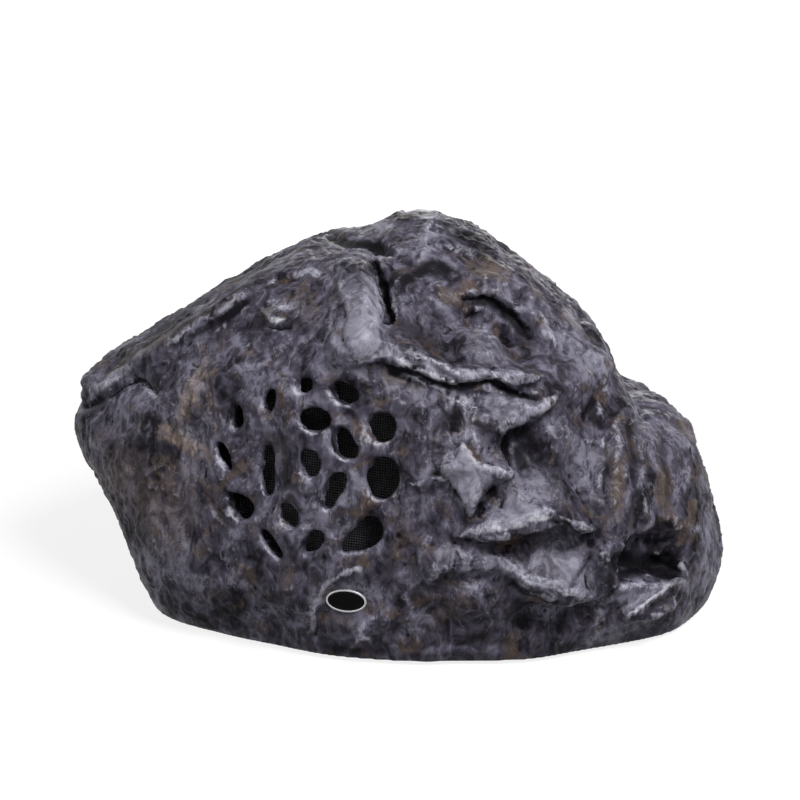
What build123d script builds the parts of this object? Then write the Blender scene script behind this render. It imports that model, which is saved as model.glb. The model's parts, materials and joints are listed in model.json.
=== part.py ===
from build123d import *

import os
from dataclasses import dataclass
from itertools import combinations

import numpy as np

# Rock shaped garden speaker, millimetres. +X is to the right of the pierced face, which looks
# towards -Y, and +Z is up. The feet stand on Z = 0 and the rock's box is centred on X = Y = 0.

# Rock: overall form
ROCK_LENGTH = 461.0
ROCK_HEIGHT = 264.0
FRONT_DEPTH = 162.0
BACK_DEPTH = 168.0
CORE_HEIGHT = 100.0
FRONT_FULLNESS = 2.3
BACK_FULLNESS = 1.7
LEAN = 0.04
SKEW = 0.08
SKIN_SPLITS = 21
LINING_SPLITS = 10
FRONT_DENSITY = 0.45
CREST_SNAP = 3.2
SURVEY_SPLITS = 24
WALL = 7.0
WALL_SEARCH = 3.5
WALL_SEARCH_SPLITS = 30

# Front elevation of the rock, anticlockwise from the right of the base; the points under the
# ground only set how the flanks run in
OUTLINE = (
    (223, 0), (231, 33), (221, 70), (213, 96), (205, 120), (184, 137), (153, 142), (149, 169),
    (130, 197), (95, 226), (53, 255), (27, 264), (2, 262), (-16, 253), (-46, 244), (-60, 242),
    (-129, 204), (-180, 174), (-214, 154), (-224, 146), (-219, 136), (-230, 122), (-227, 97),
    (-196, 49), (-177, 3), (-165, -60), (-60, -110), (110, -110), (210, -60),
)
OUTLINE_BLUR = 40.0
OUTLINE_BLUR_STEPS = 21
OUTLINE_SHARP = 0.05
OUTLINE_EASE = 0.55

# Cleaved faces: azimuth from +X, elevation, depth struck off the smooth form
FACETS = (
    (-116, 8, 9), (62, 12, 13), (108, 28, 15), (148, 14, 13), (96, -12, 12), (32, 22, 10),
    (150, 38, 9), (72, 46, 10), (124, 52, 8), (-62, -22, 5),
)
FACET_EDGE = 4.0
FACET_GLANCING = 0.05

# Slow swell of the surface: waves that grow by a step, their height as a share of their length,
# the turn, tilt and phase from one to the next, and where the swell fades in behind the outline
SWELL_WAVES = 9
SWELL_SHORTEST = 62.0
SWELL_STEP = 9.0
SWELL_SHARE = 0.016
SWELL_TURN = 137.5
SWELL_TILT = 35.0
SWELL_TILT_STEP = 2.1
SWELL_PHASE = 1.7
SWELL_START = 0.12
SWELL_EASE = 0.4
SWELL_ON_FRONT = 0.5

# Relief drawn on the front: how it fades in behind the outline, at a crest's ends and round a dome
RELIEF_EASE = 0.3
CREST_END_HEIGHT = 0.35
CREST_END_RISE = 3.2
CREST_SNAP_START = 0.15
DOME_REACH = 1.25
DOME_EASE = 0.74


@dataclass(frozen=True)
class Crest:
    """A raised or sunk line: front-elevation paths, height, and run-out to its left and right."""
    paths: tuple
    height: float
    left: float
    right: float


@dataclass(frozen=True)
class Dome:
    """A rounded rise or hollow: front-elevation centre, half axes, height and turn in degrees."""
    centre: tuple
    half_axes: tuple
    height: float
    turn: float = 0.0


CRESTS = (
    # roof rib and the groove under it
    Crest((((-204, 147), (-156, 180), (-103, 216), (-64, 238)),), 6, 10, 8),
    Crest((((-154, 172), (-88, 218)),), -6, 8, 12),
    # crack behind the left notch
    Crest((((-218, 130), (-197, 149), (-173, 162), (-160, 160)),), -6, 8, 8),
    # crevice beside the finger block
    Crest((((-11, 247), (-8, 230), (-5, 214)),), -12, 6, 11),
    # ledge across the middle
    Crest((((-40, 195), (-7, 203), (9, 201), (21, 195), (40, 189), (88, 183)),), 15, 30, 9),
    # long pit under the crown, its rim, and the groove on the crown
    Crest((((44, 227), (63, 221), (87, 209)),), -13, 9, 9),
    Crest((((46, 238), (81, 227), (100, 208)),), 6, 9, 8),
    Crest((((-41, 246), (-9, 252)),), -6, 8, 8),
    # valley that sets the right lobe apart
    Crest((((146, 172), (130, 156), (123, 129), (123, 96)),), -15, 26, 22),
    # triangular facet under the ledge
    Crest((((38, 172), (65, 157), (102, 174)),), 8, 18, 7),
    # star facet
    Crest((((44, 163), (50, 140), (44, 104)), ((50, 137), (74, 132)), ((50, 137), (27, 140))), 11, 10, 16),
    # roof facet
    Crest((((43, 95), (65, 98), (100, 103), (124, 92)),), 14, 26, 8),
    # large lower facet
    Crest((((72, 70), (96, 53), (122, 46)), ((122, 84), (122, 46))), 14, 30, 8),
    # small facet beside it
    Crest((((22, 64), (23, 77), (43, 76), (63, 76)),), 9, 16, 7),
    # wedge in the cave
    Crest((((143, 50), (156, 49), (184, 41)), ((147, 27), (186, 38))), 12, 9, 9),
    # arches round the badge
    Crest((((-61, 15), (-55, 34), (-49, 51), (-39, 63), (-27, 70), (-18, 67)),), 3.5, 7, 7),
    Crest((((-27, 14), (-23, 26), (-14, 33), (0, 40)),), 3, 7, 7),
)

DOMES = (
    # finger block, the bowl right of it and the soft bulge in the bowl
    Dome((-27, 222), (17, 34), 9),
    Dome((48, 209), (52, 20), -13, -8),
    Dome((54, 207), (18, 13), 9),
    # recesses between the facets
    Dome((81, 146), (19, 18), -11),
    Dome((60, 113), (14, 12), -7),
    Dome((90, 84), (30, 12), -5),
    Dome((100, 33), (34, 14), -8),
    # lump under the small facet, cave on the right, bump low on the left
    Dome((50, 52), (15, 13), 6),
    Dome((166, 60), (25, 20), -20, -10),
    Dome((-74, 50), (17, 16), 5),
    # shallow bowl round the slits
    Dome((-88, 138), (22, 40), -5),
)

# Driver seat: where the driver's axis meets the face, and which way it points
GRILLE_X = -62.0
GRILLE_Z = 131.0
DRIVER_YAW = 20.0
DRIVER_PITCH = 10.0
SEAT_LIP = 8.0
COLLAR_LIP = 5.0
COLLAR_BORE_MARGIN = 3.0

# Sound holes in the driver's plane: across, up, length, width, turn, taper and bend
HOLES = (
    (-1, 53.5, 13, 12, 0, 0, 0), (25, 51.5, 21, 14, -30, 0, 0), (8, 33.5, 21, 15, -4, 0.1, 0),
    (49.5, 32, 20.5, 19, -54, 0, 0), (30, 21, 23.5, 14, -56, 0.1, -2.5), (53.5, 0, 28, 22.5, 84, 0.1, 0),
    (7, 5, 19, 15.5, -77, 0, 0), (24, -11, 28, 12, 68, 0.25, 1), (-23.5, -3.5, 36.5, 10, 93, 0, 1.5),
    (-56, 0.5, 24, 8.5, -61, -0.2, 0), (-43, -29, 23.5, 15, -41, 0.5, 0), (-6, -30, 19, 14, -58, 0, 0),
    (-18.5, -50.5, 26, 8.5, -50, 0, 0), (10, -46.5, 24, 10.5, 52, 0.3, 0),
    (40, -37.5, 34.5, 18, 45, 0.35, -3), (-49, 29, 19, 9.5, 92, -0.4, 0),
    (-24.5, 41, 18.5, 9.5, 75, -0.2, 0),
)
HOLE_SIDES = 18
HOLE_DRAFT = 0.03
HOLE_ROOT = 2.0

# Driver, measured back from its seat in the collar
DRIVER_DIAMETER = 166.0
SCREEN_THICKNESS = 1.0
DRIVER_GASKET_THICKNESS = 2.5
BASKET_SHEET = 2.0
SURROUND_LAND_DROP = 8.0
SURROUND_LAND_WIDTH = 4.0
SURROUND_THICKNESS = 0.8
SURROUND_ROLL = 3.8
SURROUND_MARGIN = 0.2
FLANGE_WIDTH = 13.0
BASKET_DEPTH = 48.5
PAN_RADIUS = 38.0
SPIDER_LEDGE_DEPTH = 36.5
SPIDER_LEDGE_WIDTH = 7.0
SPIDER_THICKNESS = 0.7
SPIDER_WAVE = 1.4
SPIDER_FOLDS = 11
SPIDER_NECK = 2.0
BASKET_WINDOWS = 6
WINDOW_WIDTH = 36.0
WINDOW_FROM = 14.0
WINDOW_TO = 30.0
WINDOW_CORNER = 4.0
CONE_RIM_WIDTH = 3.0
CONE_DROP = 21.0
CONE_THICKNESS = 0.9
DUST_CAP_RADIUS = 20.0
DUST_CAP_RISE = 7.0
DUST_CAP_THICKNESS = 0.7
POLE_RADIUS = 12.3
POLE_CLEARANCE = 0.4
FORMER_THICKNESS = 0.4
FORMER_LENGTH = 34.0
WINDING_THICKNESS = 0.5
WINDING_LENGTH = 12.0
COIL_CLEARANCE = 0.5
PLATE_THICKNESS = 5.0
PLATE_RADIUS = 45.0
MAGNET_RADIUS = 48.0
MAGNET_BORE_RADIUS = 26.0
MAGNET_HEIGHT = 15.0
DRIVER_SCREWS = 8
DRIVER_SCREW_EDGE = 5.0
DRIVER_SCREW_BITE = 9.0
TERMINAL_STRIP = (18.0, 8.0, 1.6)
TERMINAL_TAG = (4.0, 10.0, 0.8)

# Screws, all cross-headed pan screws of one gauge
SCREW_RADIUS = 2.0
SCREW_HEAD_RADIUS = 3.6
SCREW_HEAD_HEIGHT = 2.5
SCREW_CROWN_RADIUS = 2.2
SCREW_HEAD_EDGE = 1.0
SCREW_HOLE_RADIUS = 2.3
THREAD_FIT = 0.05
PILOT_SPARE = 1.0

# Base
RIM_HEIGHT = 3.0
FOOT_HEIGHT = 8.0
FOOT_RADIUS = 15.0
FOOT_CHAMFER = 1.5
FOOT_STEM_RADIUS = 4.0
FOOT_BARB_RADIUS = 5.5
FOOT_BARB_HEIGHT = 5.0
FOOT_BARB_TIP_RADIUS = 2.4
FOOT_INSET = 52.0
FOOT_BEARINGS = (40.0, 140.0, 220.0, 320.0)
BASE_PLATE_THICKNESS = 5.0
BASE_GASKET_THICKNESS = 2.0
BASE_FLANGE_THICKNESS = 9.0
BASE_FLANGE_WIDTH = 18.0
RIM_WIDTH = 10.0
BASE_CLEARANCE = 0.8
GASKET_MARGIN = 1.0
BASE_SCREWS = 8
BASE_SCREW_INSET = 10.0
FOOTPRINT_POINTS = 36

# Line transformer on the base plate
TRANSFORMER_X = 95.0
TRANSFORMER_Y = 25.0
CORE_WIDTH = 54.0
CORE_LEG = 9.0
CORE_STACK = 20.0
CORE_TALL = 45.0
BOBBIN_WALL = 1.2
BOBBIN_FLANGE = 6.5
WINDING_BUILD = 5.2
BOBBIN_FIT = 0.3
STRAP = 1.5
STRAP_WIDTH = 16.0
STRAP_FOOT = 14.0

# Terminal block on the base plate
BLOCK_X = -45.0
BLOCK_Y = 60.0
BLOCK_SIZE = (30.0, 16.0, 14.0)
BLOCK_WAYS = 3
BLOCK_CHAMFER = 1.4
BLOCK_WIRE_RADIUS = 2.0
BLOCK_WIRE_HEIGHT = 5.6
BLOCK_SCREW_RADIUS = 2.2
BLOCK_SCREW_LENGTH = 6.0
BLOCK_SLOT_WIDTH = 0.8
BLOCK_SLOT_DEPTH = 0.8

# Cable gland in a pocket low on the back
GLAND_X = -45.0
GLAND_Z = 62.0
GLAND_RECESS = 24.0
POCKET_RADIUS = 22.0
GLAND_WALL = 10.0
GLAND_THREAD_RADIUS = 7.5
GLAND_HOLE_FIT = 0.2
GLAND_HEX = 22.0
GLAND_COLLAR = 5.0
GLAND_MOUTH = 9.0
GLAND_BORE_RADIUS = 4.8
GLAND_SEAL_RADIUS = 6.2
CABLE_RADIUS = 3.5
LOCKNUT_THICKNESS = 5.0
DOME_NUT_RADIUS = 10.0
DOME_NUT_SHOULDER_RADIUS = 9.2
DOME_NUT_TIP_RADIUS = 7.2
DOME_NUT_LENGTH = 14.0
NUT_GAP = 0.6

# Badge: a bare oval plate in a shallow pocket
BADGE_X = -32.0
BADGE_Z = 46.0
BADGE_WIDTH = 27.0
BADGE_HEIGHT = 17.0
BADGE_THICKNESS = 1.8
BADGE_SINK = 1.2
BADGE_EDGE = 0.45
BADGE_FIT = 0.2

# A length past anything on the rock, and the steps in which a ray's end is halved in on
FAR = 400.0
HALVINGS = 30


def smoothstep(x):
    """Ease from 0 to 1 as x goes from 0 to 1."""
    x = np.clip(x, 0, 1)
    return x * x * (3 - 2 * x)


def heading(azimuth, elevation):
    """Unit vector from degrees of azimuth about +Z, from +X, and of elevation."""
    turn, rise = np.radians(azimuth), np.radians(elevation)
    return np.array([np.cos(turn) * np.cos(rise), np.sin(turn) * np.cos(rise), np.sin(rise)])


def normalised(vectors):
    """The same directions at unit length."""
    return vectors / np.linalg.norm(vectors, axis=1)[:, None]


def geodesic(splits):
    """Directions and triangles of an icosahedron whose edges are split evenly."""
    gold = (1 + 5 ** 0.5) / 2
    flat = [(a, b * gold) for b in (1, -1) for a in (-1, 1)]
    corners = [(a, b, 0) for a, b in flat] + [(0, a, b) for a, b in flat] + [(b, 0, a) for a, b in flat]
    corners = np.array(corners, float)
    just_over_an_edge = 2.02
    near = np.linalg.norm(corners[:, None] - corners[None], axis=2) < just_over_an_edge
    points, index, triangles = [], {}, []

    def number(point):
        key = tuple(np.round(point, 6))
        if key not in index:
            index[key] = len(points)
            points.append(point)
        return index[key]

    for i, j, k in combinations(range(len(corners)), 3):
        if not (near[i, j] and near[j, k] and near[i, k]):
            continue
        a, b, c = corners[[i, j, k]]
        if np.dot(np.cross(b - a, c - a), a) < 0:
            b, c = c, b
        rows = [
            [number((a * (splits - m - n) + b * m + c * n) / splits) for n in range(splits - m + 1)]
            for m in range(splits + 1)
        ]
        for m in range(splits):
            for n in range(splits - m):
                triangles.append((rows[m][n], rows[m + 1][n], rows[m][n + 1]))
                if n < splits - m - 1:
                    triangles.append((rows[m + 1][n], rows[m + 1][n + 1], rows[m][n + 1]))
    return normalised(np.array(points)), triangles


def outline_radius(angle):
    """Distance from the core to the drawn front outline, at angles in the XZ plane."""
    points = np.array(OUTLINE, float)
    points[:, 0] *= ROCK_LENGTH / np.ptp(points[:, 0])
    points[:, 1] *= ROCK_HEIGHT / points[:, 1].max()
    points[:, 1] -= CORE_HEIGHT
    bearing = np.arctan2(points[:, 1], points[:, 0])
    points, bearing = points[np.argsort(bearing)], np.sort(bearing)
    after = np.searchsorted(bearing, angle) % len(points)
    start, run = points[after - 1], points[after] - points[after - 1]
    crossing = start[:, 0] * run[:, 1] - start[:, 1] * run[:, 0]
    return crossing / (np.cos(angle) * run[:, 1] - np.sin(angle) * run[:, 0])


def smooth_form(way):
    """Radius of the plain boulder: sharp at its outline, rounder towards the front and back."""
    angle = np.arctan2(way[:, 2], way[:, 0])
    sharp = outline_radius(angle)
    blur = np.radians(np.linspace(-OUTLINE_BLUR, OUTLINE_BLUR, OUTLINE_BLUR_STEPS))
    round_turn = [(angle + step + np.pi) % (2 * np.pi) - np.pi for step in blur]
    soft = np.mean([outline_radius(turned_angle) for turned_angle in round_turn], axis=0)
    across = sharp + (soft - sharp) * smoothstep((np.abs(way[:, 1]) - OUTLINE_SHARP) / OUTLINE_EASE)
    front = way[:, 1] < 0
    depth = np.where(front, FRONT_DEPTH, BACK_DEPTH)
    power = np.where(front, FRONT_FULLNESS, BACK_FULLNESS)
    flat = np.hypot(way[:, 0], way[:, 2])
    return ((flat / across) ** power + (np.abs(way[:, 1]) / depth) ** power) ** (-1 / power)


SURVEY = geodesic(SURVEY_SPLITS)[0]
SURVEY_POINTS = SURVEY * smooth_form(SURVEY)[:, None]


def cleaved_form(way):
    """Radius of the boulder with its flat faces struck off, each with a softened edge."""
    radius = smooth_form(way)
    for azimuth, elevation, depth in FACETS:
        normal = heading(azimuth, elevation)
        reach = (SURVEY_POINTS @ normal).max() - depth
        facing = way @ normal
        struck = facing > FACET_GLANCING
        plane = np.where(struck, reach / np.maximum(facing, FACET_GLANCING), 2 * radius)
        gap = plane - radius
        corner = np.where(np.abs(gap) < FACET_EDGE, (FACET_EDGE - np.abs(gap)) ** 2 / (4 * FACET_EDGE), 0)
        radius = radius + np.minimum(0, gap) - corner
    return radius


def along_path(spots, path):
    """Nearest place on a path: its point, the distance, if the spot lies left, and share of length."""
    path = np.array(path, float)
    runs = np.hypot(*np.diff(path, axis=0).T)
    starts = np.concatenate([[0], np.cumsum(runs)])
    nearest = spots.copy()
    distance = np.full(len(spots), np.inf)
    left = np.zeros(len(spots), bool)
    share = np.zeros(len(spots))
    for a, b, before, run in zip(path[:-1], path[1:], starts, runs):
        step = b - a
        part = np.clip((spots - a) @ step / (step @ step), 0, 1)
        foot = a + part[:, None] * step
        off = spots - foot
        reach = np.hypot(off[:, 0], off[:, 1])
        closer = reach < distance
        distance[closer] = reach[closer]
        nearest[closer] = foot[closer]
        side = step[0] * (spots[:, 1] - a[1]) - step[1] * (spots[:, 0] - a[0])
        left[closer] = side[closer] > 0
        share[closer] = (before + part[closer] * run) / starts[-1]
    return nearest, distance, left, share


def relief(spots):
    """Height of the crests and domes at front-elevation spots."""
    total = np.zeros(len(spots))
    for crest in CRESTS:
        rise = np.zeros(len(spots))
        for path in crest.paths:
            _, distance, left, share = along_path(spots, path)
            fade = np.minimum(1, CREST_END_HEIGHT + CREST_END_RISE * np.minimum(share, 1 - share))
            rise = np.maximum(rise, fade - distance / np.where(left, crest.left, crest.right))
        total += crest.height * rise
    for dome in DOMES:
        turn = np.radians(dome.turn)
        off = spots - np.array(dome.centre)
        u = (off[:, 0] * np.cos(turn) + off[:, 1] * np.sin(turn)) / dome.half_axes[0]
        v = (off[:, 1] * np.cos(turn) - off[:, 0] * np.sin(turn)) / dome.half_axes[1]
        total += dome.height * smoothstep((DOME_REACH - np.hypot(u, v)) / DOME_EASE)
    return total


def swell(points):
    """Slow rise and fall made of plane waves in scattered directions."""
    total = np.zeros(len(points))
    for i in range(SWELL_WAVES):
        wave = SWELL_SHORTEST + SWELL_STEP * i
        normal = heading(SWELL_TURN * i, SWELL_TILT * np.sin(SWELL_TILT_STEP * i))
        total += SWELL_SHARE * wave * np.sin(2 * np.pi * (points @ normal) / wave + SWELL_PHASE * i)
    return total


def elevation_spots(points):
    """Front-elevation x and z, as the crests and domes are drawn, of points about the core."""
    across = points[:, 0] * np.ptp([x for x, _ in OUTLINE]) / ROCK_LENGTH
    up = (points[:, 2] + CORE_HEIGHT) * max(z for _, z in OUTLINE) / ROCK_HEIGHT
    return np.stack([across, up], axis=1)


def rock_radius(way):
    """Radius of the finished rock surface along unit directions from the core."""
    radius = cleaved_form(way)
    points = way * radius[:, None]
    front = smoothstep(-way[:, 1] / RELIEF_EASE)
    inward = smoothstep((np.abs(way[:, 1]) - SWELL_START) / SWELL_EASE)
    calm = inward * (1 - (1 - SWELL_ON_FRONT) * front)
    return radius + relief(elevation_spots(points)) * front + swell(points) * calm


def drawn_to_crests(way):
    """Directions moved onto the nearest crest line, so that the facets break along it."""
    points = way * cleaved_form(way)[:, None]
    spots = elevation_spots(points)
    moved = spots.copy()
    for crest in CRESTS:
        for path in crest.paths:
            nearest, distance, _, _ = along_path(moved, path)
            close = (distance < CREST_SNAP) & (way[:, 1] < -CREST_SNAP_START)
            moved[close] = nearest[close]
    points[:, [0, 2]] += moved - spots
    return normalised(points)


def sheared(points):
    """Points about the core, leaned back and skewed, in the rock's own frame before centring."""
    shear = LEAN * points[:, 2] - SKEW * points[:, 0]
    return points + np.stack([0 * shear, shear, 0 * shear + CORE_HEIGHT], axis=1)


skin_way, skin_triangles = geodesic(SKIN_SPLITS)
skin_way = drawn_to_crests(normalised(skin_way + np.array([0, -FRONT_DENSITY, 0])))
skin_points = sheared(skin_way * rock_radius(skin_way)[:, None])
standing = skin_points[skin_points[:, 2] > RIM_HEIGHT]
CENTRING = np.array([1, 1, 0]) * (standing.min(axis=0) + standing.max(axis=0)) / 2
skin_points = skin_points - CENTRING


def inside_rock(points):
    """How far points lie inside the rock's surface, along the line from the core."""
    core = points + CENTRING
    core = core - np.array([0, 0, CORE_HEIGHT])
    core[:, 1] -= LEAN * core[:, 2] - SKEW * core[:, 0]
    return rock_radius(normalised(core)) - np.linalg.norm(core, axis=1)


def reach_out(origin, direction):
    """Points where rays from inside the rock leave its surface, by halving the interval."""
    low = np.zeros(len(direction))
    high = np.full(len(direction), FAR)
    for _ in range(HALVINGS):
        middle = (low + high) / 2
        within = inside_rock(origin + direction * middle[:, None]) > 0
        low, high = np.where(within, middle, low), np.where(within, high, middle)
    return origin + direction * low[:, None]


def face_point(x, z, direction):
    """The surface point met by a level ray from the middle of the rock at x and z."""
    return reach_out(np.array([[x, 0.0, z]]), np.array([direction], float))[0]


def polyhedron(points, triangles):
    """Solid bounded by flat triangles."""
    corners = [Vector(*point) for point in points]
    faces = [Face(Wire.make_polygon([corners[i] for i in triangle])) for triangle in triangles]
    return Solid(Shell(faces))


def above(height):
    """Block of space above a height."""
    return Pos(0, 0, height) * Box(4 * FAR, 4 * FAR, 2 * FAR, align=(Align.CENTER, Align.CENTER, Align.MIN))


def turned(outline):
    """Solid of revolution about Z from a closed (radius, height) outline."""
    return revolve(make_face(Polyline(*[(r, 0, z) for r, z in outline], close=True)), Axis.Z)


def ring(outer, inner, low, high):
    """Flat ring about Z."""
    return turned([(inner, low), (outer, low), (outer, high), (inner, high)])


def rod(radius, low, high):
    """Plain rod about Z."""
    return turned([(0, low), (radius, low), (radius, high), (0, high)])


def on_circle(count, radius, piece, phase=0.0):
    """Copies of a piece spaced evenly on a circle about Z, each turned to face outwards."""
    return [Rot(0, 0, 360 * i / count + phase) * Pos(radius, 0, 0) * piece for i in range(count)]


def pan_screw(grip):
    """Pan-headed screw about Z: head under Z = 0, shank up to the grip length."""
    return turned([
        (0, -SCREW_HEAD_HEIGHT), (SCREW_CROWN_RADIUS, -SCREW_HEAD_HEIGHT),
        (SCREW_HEAD_RADIUS, -SCREW_HEAD_EDGE), (SCREW_HEAD_RADIUS, 0), (SCREW_RADIUS, 0),
        (SCREW_RADIUS, grip - SCREW_RADIUS), (0, grip),
    ])


def group(solids):
    """Several separate solids kept together as one piece."""
    return Compound(children=list(solids))


# Driver frame: local Z points out of the face along the axis, and Z = 0 is the collar's seat
axis = heading(270 - DRIVER_YAW, DRIVER_PITCH)
face_spot = face_point(GRILLE_X - CENTRING[0], GRILLE_Z, (0, -1, 0))
face_plane = Plane(origin=tuple(face_spot), x_dir=tuple(np.cross([0, 0, 1], axis)), z_dir=tuple(axis))
DRIVER_RADIUS = DRIVER_DIAMETER / 2
SCREW_CIRCLE = DRIVER_RADIUS - DRIVER_SCREW_EDGE
COLLAR_RADIUS = DRIVER_RADIUS + COLLAR_LIP
COLLAR_BORE = DRIVER_RADIUS - FLANGE_WIDTH + COLLAR_BORE_MARGIN
from_face = skin_points - face_spot
off_axis = np.linalg.norm(np.cross(from_face, axis), axis=1)
under_collar = (off_axis < COLLAR_RADIUS + WALL) & (from_face @ axis > -COLLAR_RADIUS)
SEAT_DEPTH = WALL + SEAT_LIP - (from_face @ axis)[under_collar].min()
seat = Location(face_plane) * Pos(0, 0, -SEAT_DEPTH)


def sound_hole(across, up, length, width, turn, taper, bend, forward):
    """Closed wire of one sound hole, wider where it is further forward."""
    sway = np.radians(turn)
    grow = forward * HOLE_DRAFT
    corners = []
    for i in range(HOLE_SIDES):
        angle = 2 * np.pi * i / HOLE_SIDES
        along = np.cos(angle)
        half = (width / 2 + grow) * np.sin(angle) * (1 + taper * along) + bend * (1 - along ** 2)
        run = (length / 2 + grow) * along
        x = across + run * np.cos(sway) - half * np.sin(sway)
        y = up + run * np.sin(sway) + half * np.cos(sway)
        corners.append((x, y, SEAT_DEPTH + forward))
    return Wire.make_polygon([Vector(*corner) for corner in corners])


def make_sound_holes():
    """Drafted prisms through the face, from the collar's bore to clear of the rock."""
    ends = HOLE_ROOT - SEAT_DEPTH, SEAT_DEPTH
    return [seat * Solid.make_loft([sound_hole(*hole, end) for end in ends], ruled=True) for hole in HOLES]


# Base levels, and the rock's footprint at the rim
PLATE_LOW = FOOT_HEIGHT
PLATE_TOP = PLATE_LOW + BASE_PLATE_THICKNESS
BASE_FLANGE_LOW = PLATE_TOP + BASE_GASKET_THICKNESS
BASE_FLANGE_TOP = BASE_FLANGE_LOW + BASE_FLANGE_THICKNESS


def make_footprint():
    """Smooth closed line inside the rock's foot, from the rim to the top of the base flange."""
    bearing = np.radians(np.arange(FOOTPRINT_POINTS) * 360 / FOOTPRINT_POINTS)
    level = np.stack([np.cos(bearing), np.sin(bearing), 0 * bearing], axis=1)
    heights = (RIM_HEIGHT, (RIM_HEIGHT + BASE_FLANGE_TOP) / 2, BASE_FLANGE_TOP)
    reaches = [np.hypot(*reach_out(np.array([0, 0, z]), level)[:, :2].T) for z in heights]
    least = np.min(reaches, axis=0)
    least = np.minimum(least, np.minimum(np.roll(least, 1), np.roll(least, -1)))
    calm = (np.roll(least, 2) + np.roll(least, 1) + least + np.roll(least, -1) + np.roll(least, -2)) / 5
    calm = np.minimum(calm, least)
    return level[:, :2] * calm[:, None]


footprint = make_footprint()
footprint_run = normalised(np.roll(footprint, -1, axis=0) - np.roll(footprint, 1, axis=0))
footprint_in = np.stack([-footprint_run[:, 1], footprint_run[:, 0]], axis=1)


def footprint_spot(bearing, inset):
    """A spot in from the footprint, at a bearing in degrees from +X."""
    place = bearing / 360 * FOOTPRINT_POINTS
    lower = int(place) % FOOTPRINT_POINTS
    upper = (lower + 1) % FOOTPRINT_POINTS
    line = footprint + footprint_in * inset
    return line[lower] + (line[upper] - line[lower]) * (place % 1)


def footprint_block(inset, low, high):
    """Upright block with the footprint's outline, drawn in by an inset."""
    line = footprint + footprint_in * inset
    outline = make_face(Spline(*[(x, y, low) for x, y in line], periodic=True))
    return extrude(outline, high - low, dir=(0, 0, 1))


def place_all(piece, spots, height):
    """Copies of a piece at spots on one level."""
    return [Pos(x, y, height) * piece for x, y in spots]


base_screw_spots = [
    footprint_spot(360 * (i + 0.5) / BASE_SCREWS, RIM_WIDTH + BASE_SCREW_INSET) for i in range(BASE_SCREWS)
]
foot_spots = [footprint_spot(bearing, FOOT_INSET) for bearing in FOOT_BEARINGS]

# Gland frame: local Z points out of the back, and Z = 0 is the floor of the pocket
gland_spot = face_point(GLAND_X - CENTRING[0], GLAND_Z, (0, 1, 0))
gland_floor = tuple(gland_spot - np.array([0, GLAND_RECESS, 0]))
gland = Location(Plane(origin=gland_floor, x_dir=(-1, 0, 0), z_dir=(0, 1, 0)))

# Badge frame: local Z stands off the surface
badge_ring = [
    face_point(BADGE_X - CENTRING[0] + dx, BADGE_Z + dz, (0, -1, 0))
    for dx, dz in (
        (-BADGE_WIDTH / 2, 0), (BADGE_WIDTH / 2, 0), (0, -BADGE_HEIGHT / 2), (0, BADGE_HEIGHT / 2),
    )
]
badge_across = badge_ring[1] - badge_ring[0]
badge_out = np.cross(badge_across, badge_ring[3] - badge_ring[2])
badge_middle = tuple(np.mean(badge_ring, axis=0))
badge = Location(Plane(origin=badge_middle, x_dir=tuple(badge_across), z_dir=tuple(badge_out)))


def make_lining():
    """Hollow of the rock: the outer surface drawn in by the wall."""
    way, triangles = geodesic(LINING_SPLITS)
    probe = geodesic(WALL_SEARCH_SPLITS)[0]
    probe_radius = rock_radius(probe)
    close = way @ probe.T > np.cos(np.radians(WALL_SEARCH))
    least = np.where(close, probe_radius, np.inf).min(axis=1)
    return polyhedron(sheared(way * (least - WALL)[:, None]) - CENTRING, triangles)


def make_rock_shell():
    """Moulded hollow rock with its driver collar, gland pocket, base flange, holes and screw pilots."""
    collar = seat * ring(COLLAR_RADIUS, COLLAR_BORE, 0, SEAT_DEPTH + COLLAR_RADIUS)
    gland_boss = gland * rod(POCKET_RADIUS + WALL, -GLAND_WALL, FAR)
    hollow = (make_lining() & above(BASE_FLANGE_TOP)) - collar - gland_boss
    shell = (polyhedron(skin_points, skin_triangles) & above(RIM_HEIGHT)) - hollow
    cuts = make_sound_holes()
    cuts.append(footprint_block(RIM_WIDTH, -FOOT_HEIGHT, BASE_FLANGE_LOW))
    cuts.append(footprint_block(RIM_WIDTH + BASE_FLANGE_WIDTH, -FOOT_HEIGHT, BASE_FLANGE_TOP + PILOT_SPARE))
    cuts.append(gland * rod(POCKET_RADIUS, 0, FAR))
    cuts.append(gland * rod(GLAND_THREAD_RADIUS + GLAND_HOLE_FIT, -GLAND_WALL - PILOT_SPARE, PILOT_SPARE))
    cuts.append(badge * extrude(Ellipse(BADGE_WIDTH / 2, BADGE_HEIGHT / 2), BADGE_WIDTH / 2))
    cuts.append(badge * extrude(Ellipse(BADGE_WIDTH / 2, BADGE_HEIGHT / 2), -BADGE_SINK))
    driver_pilot = rod(SCREW_RADIUS + THREAD_FIT, -PILOT_SPARE, DRIVER_SCREW_BITE + PILOT_SPARE)
    cuts += [seat * pilot for pilot in on_circle(DRIVER_SCREWS, SCREW_CIRCLE, driver_pilot)]
    base_pilot = rod(SCREW_RADIUS + THREAD_FIT, -PILOT_SPARE, BASE_FLANGE_THICKNESS - PILOT_SPARE)
    cuts += place_all(base_pilot, base_screw_spots, BASE_FLANGE_LOW)
    return shell - cuts


def make_badge():
    """Bare oval plate with softened edges."""
    oval = Ellipse(BADGE_WIDTH / 2 - BADGE_FIT, BADGE_HEIGHT / 2 - BADGE_FIT)
    plate = Pos(0, 0, -BADGE_SINK) * extrude(oval, BADGE_THICKNESS)
    return badge * fillet(plate.edges().sort_by(Axis.Z)[-1:], BADGE_EDGE)


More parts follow.
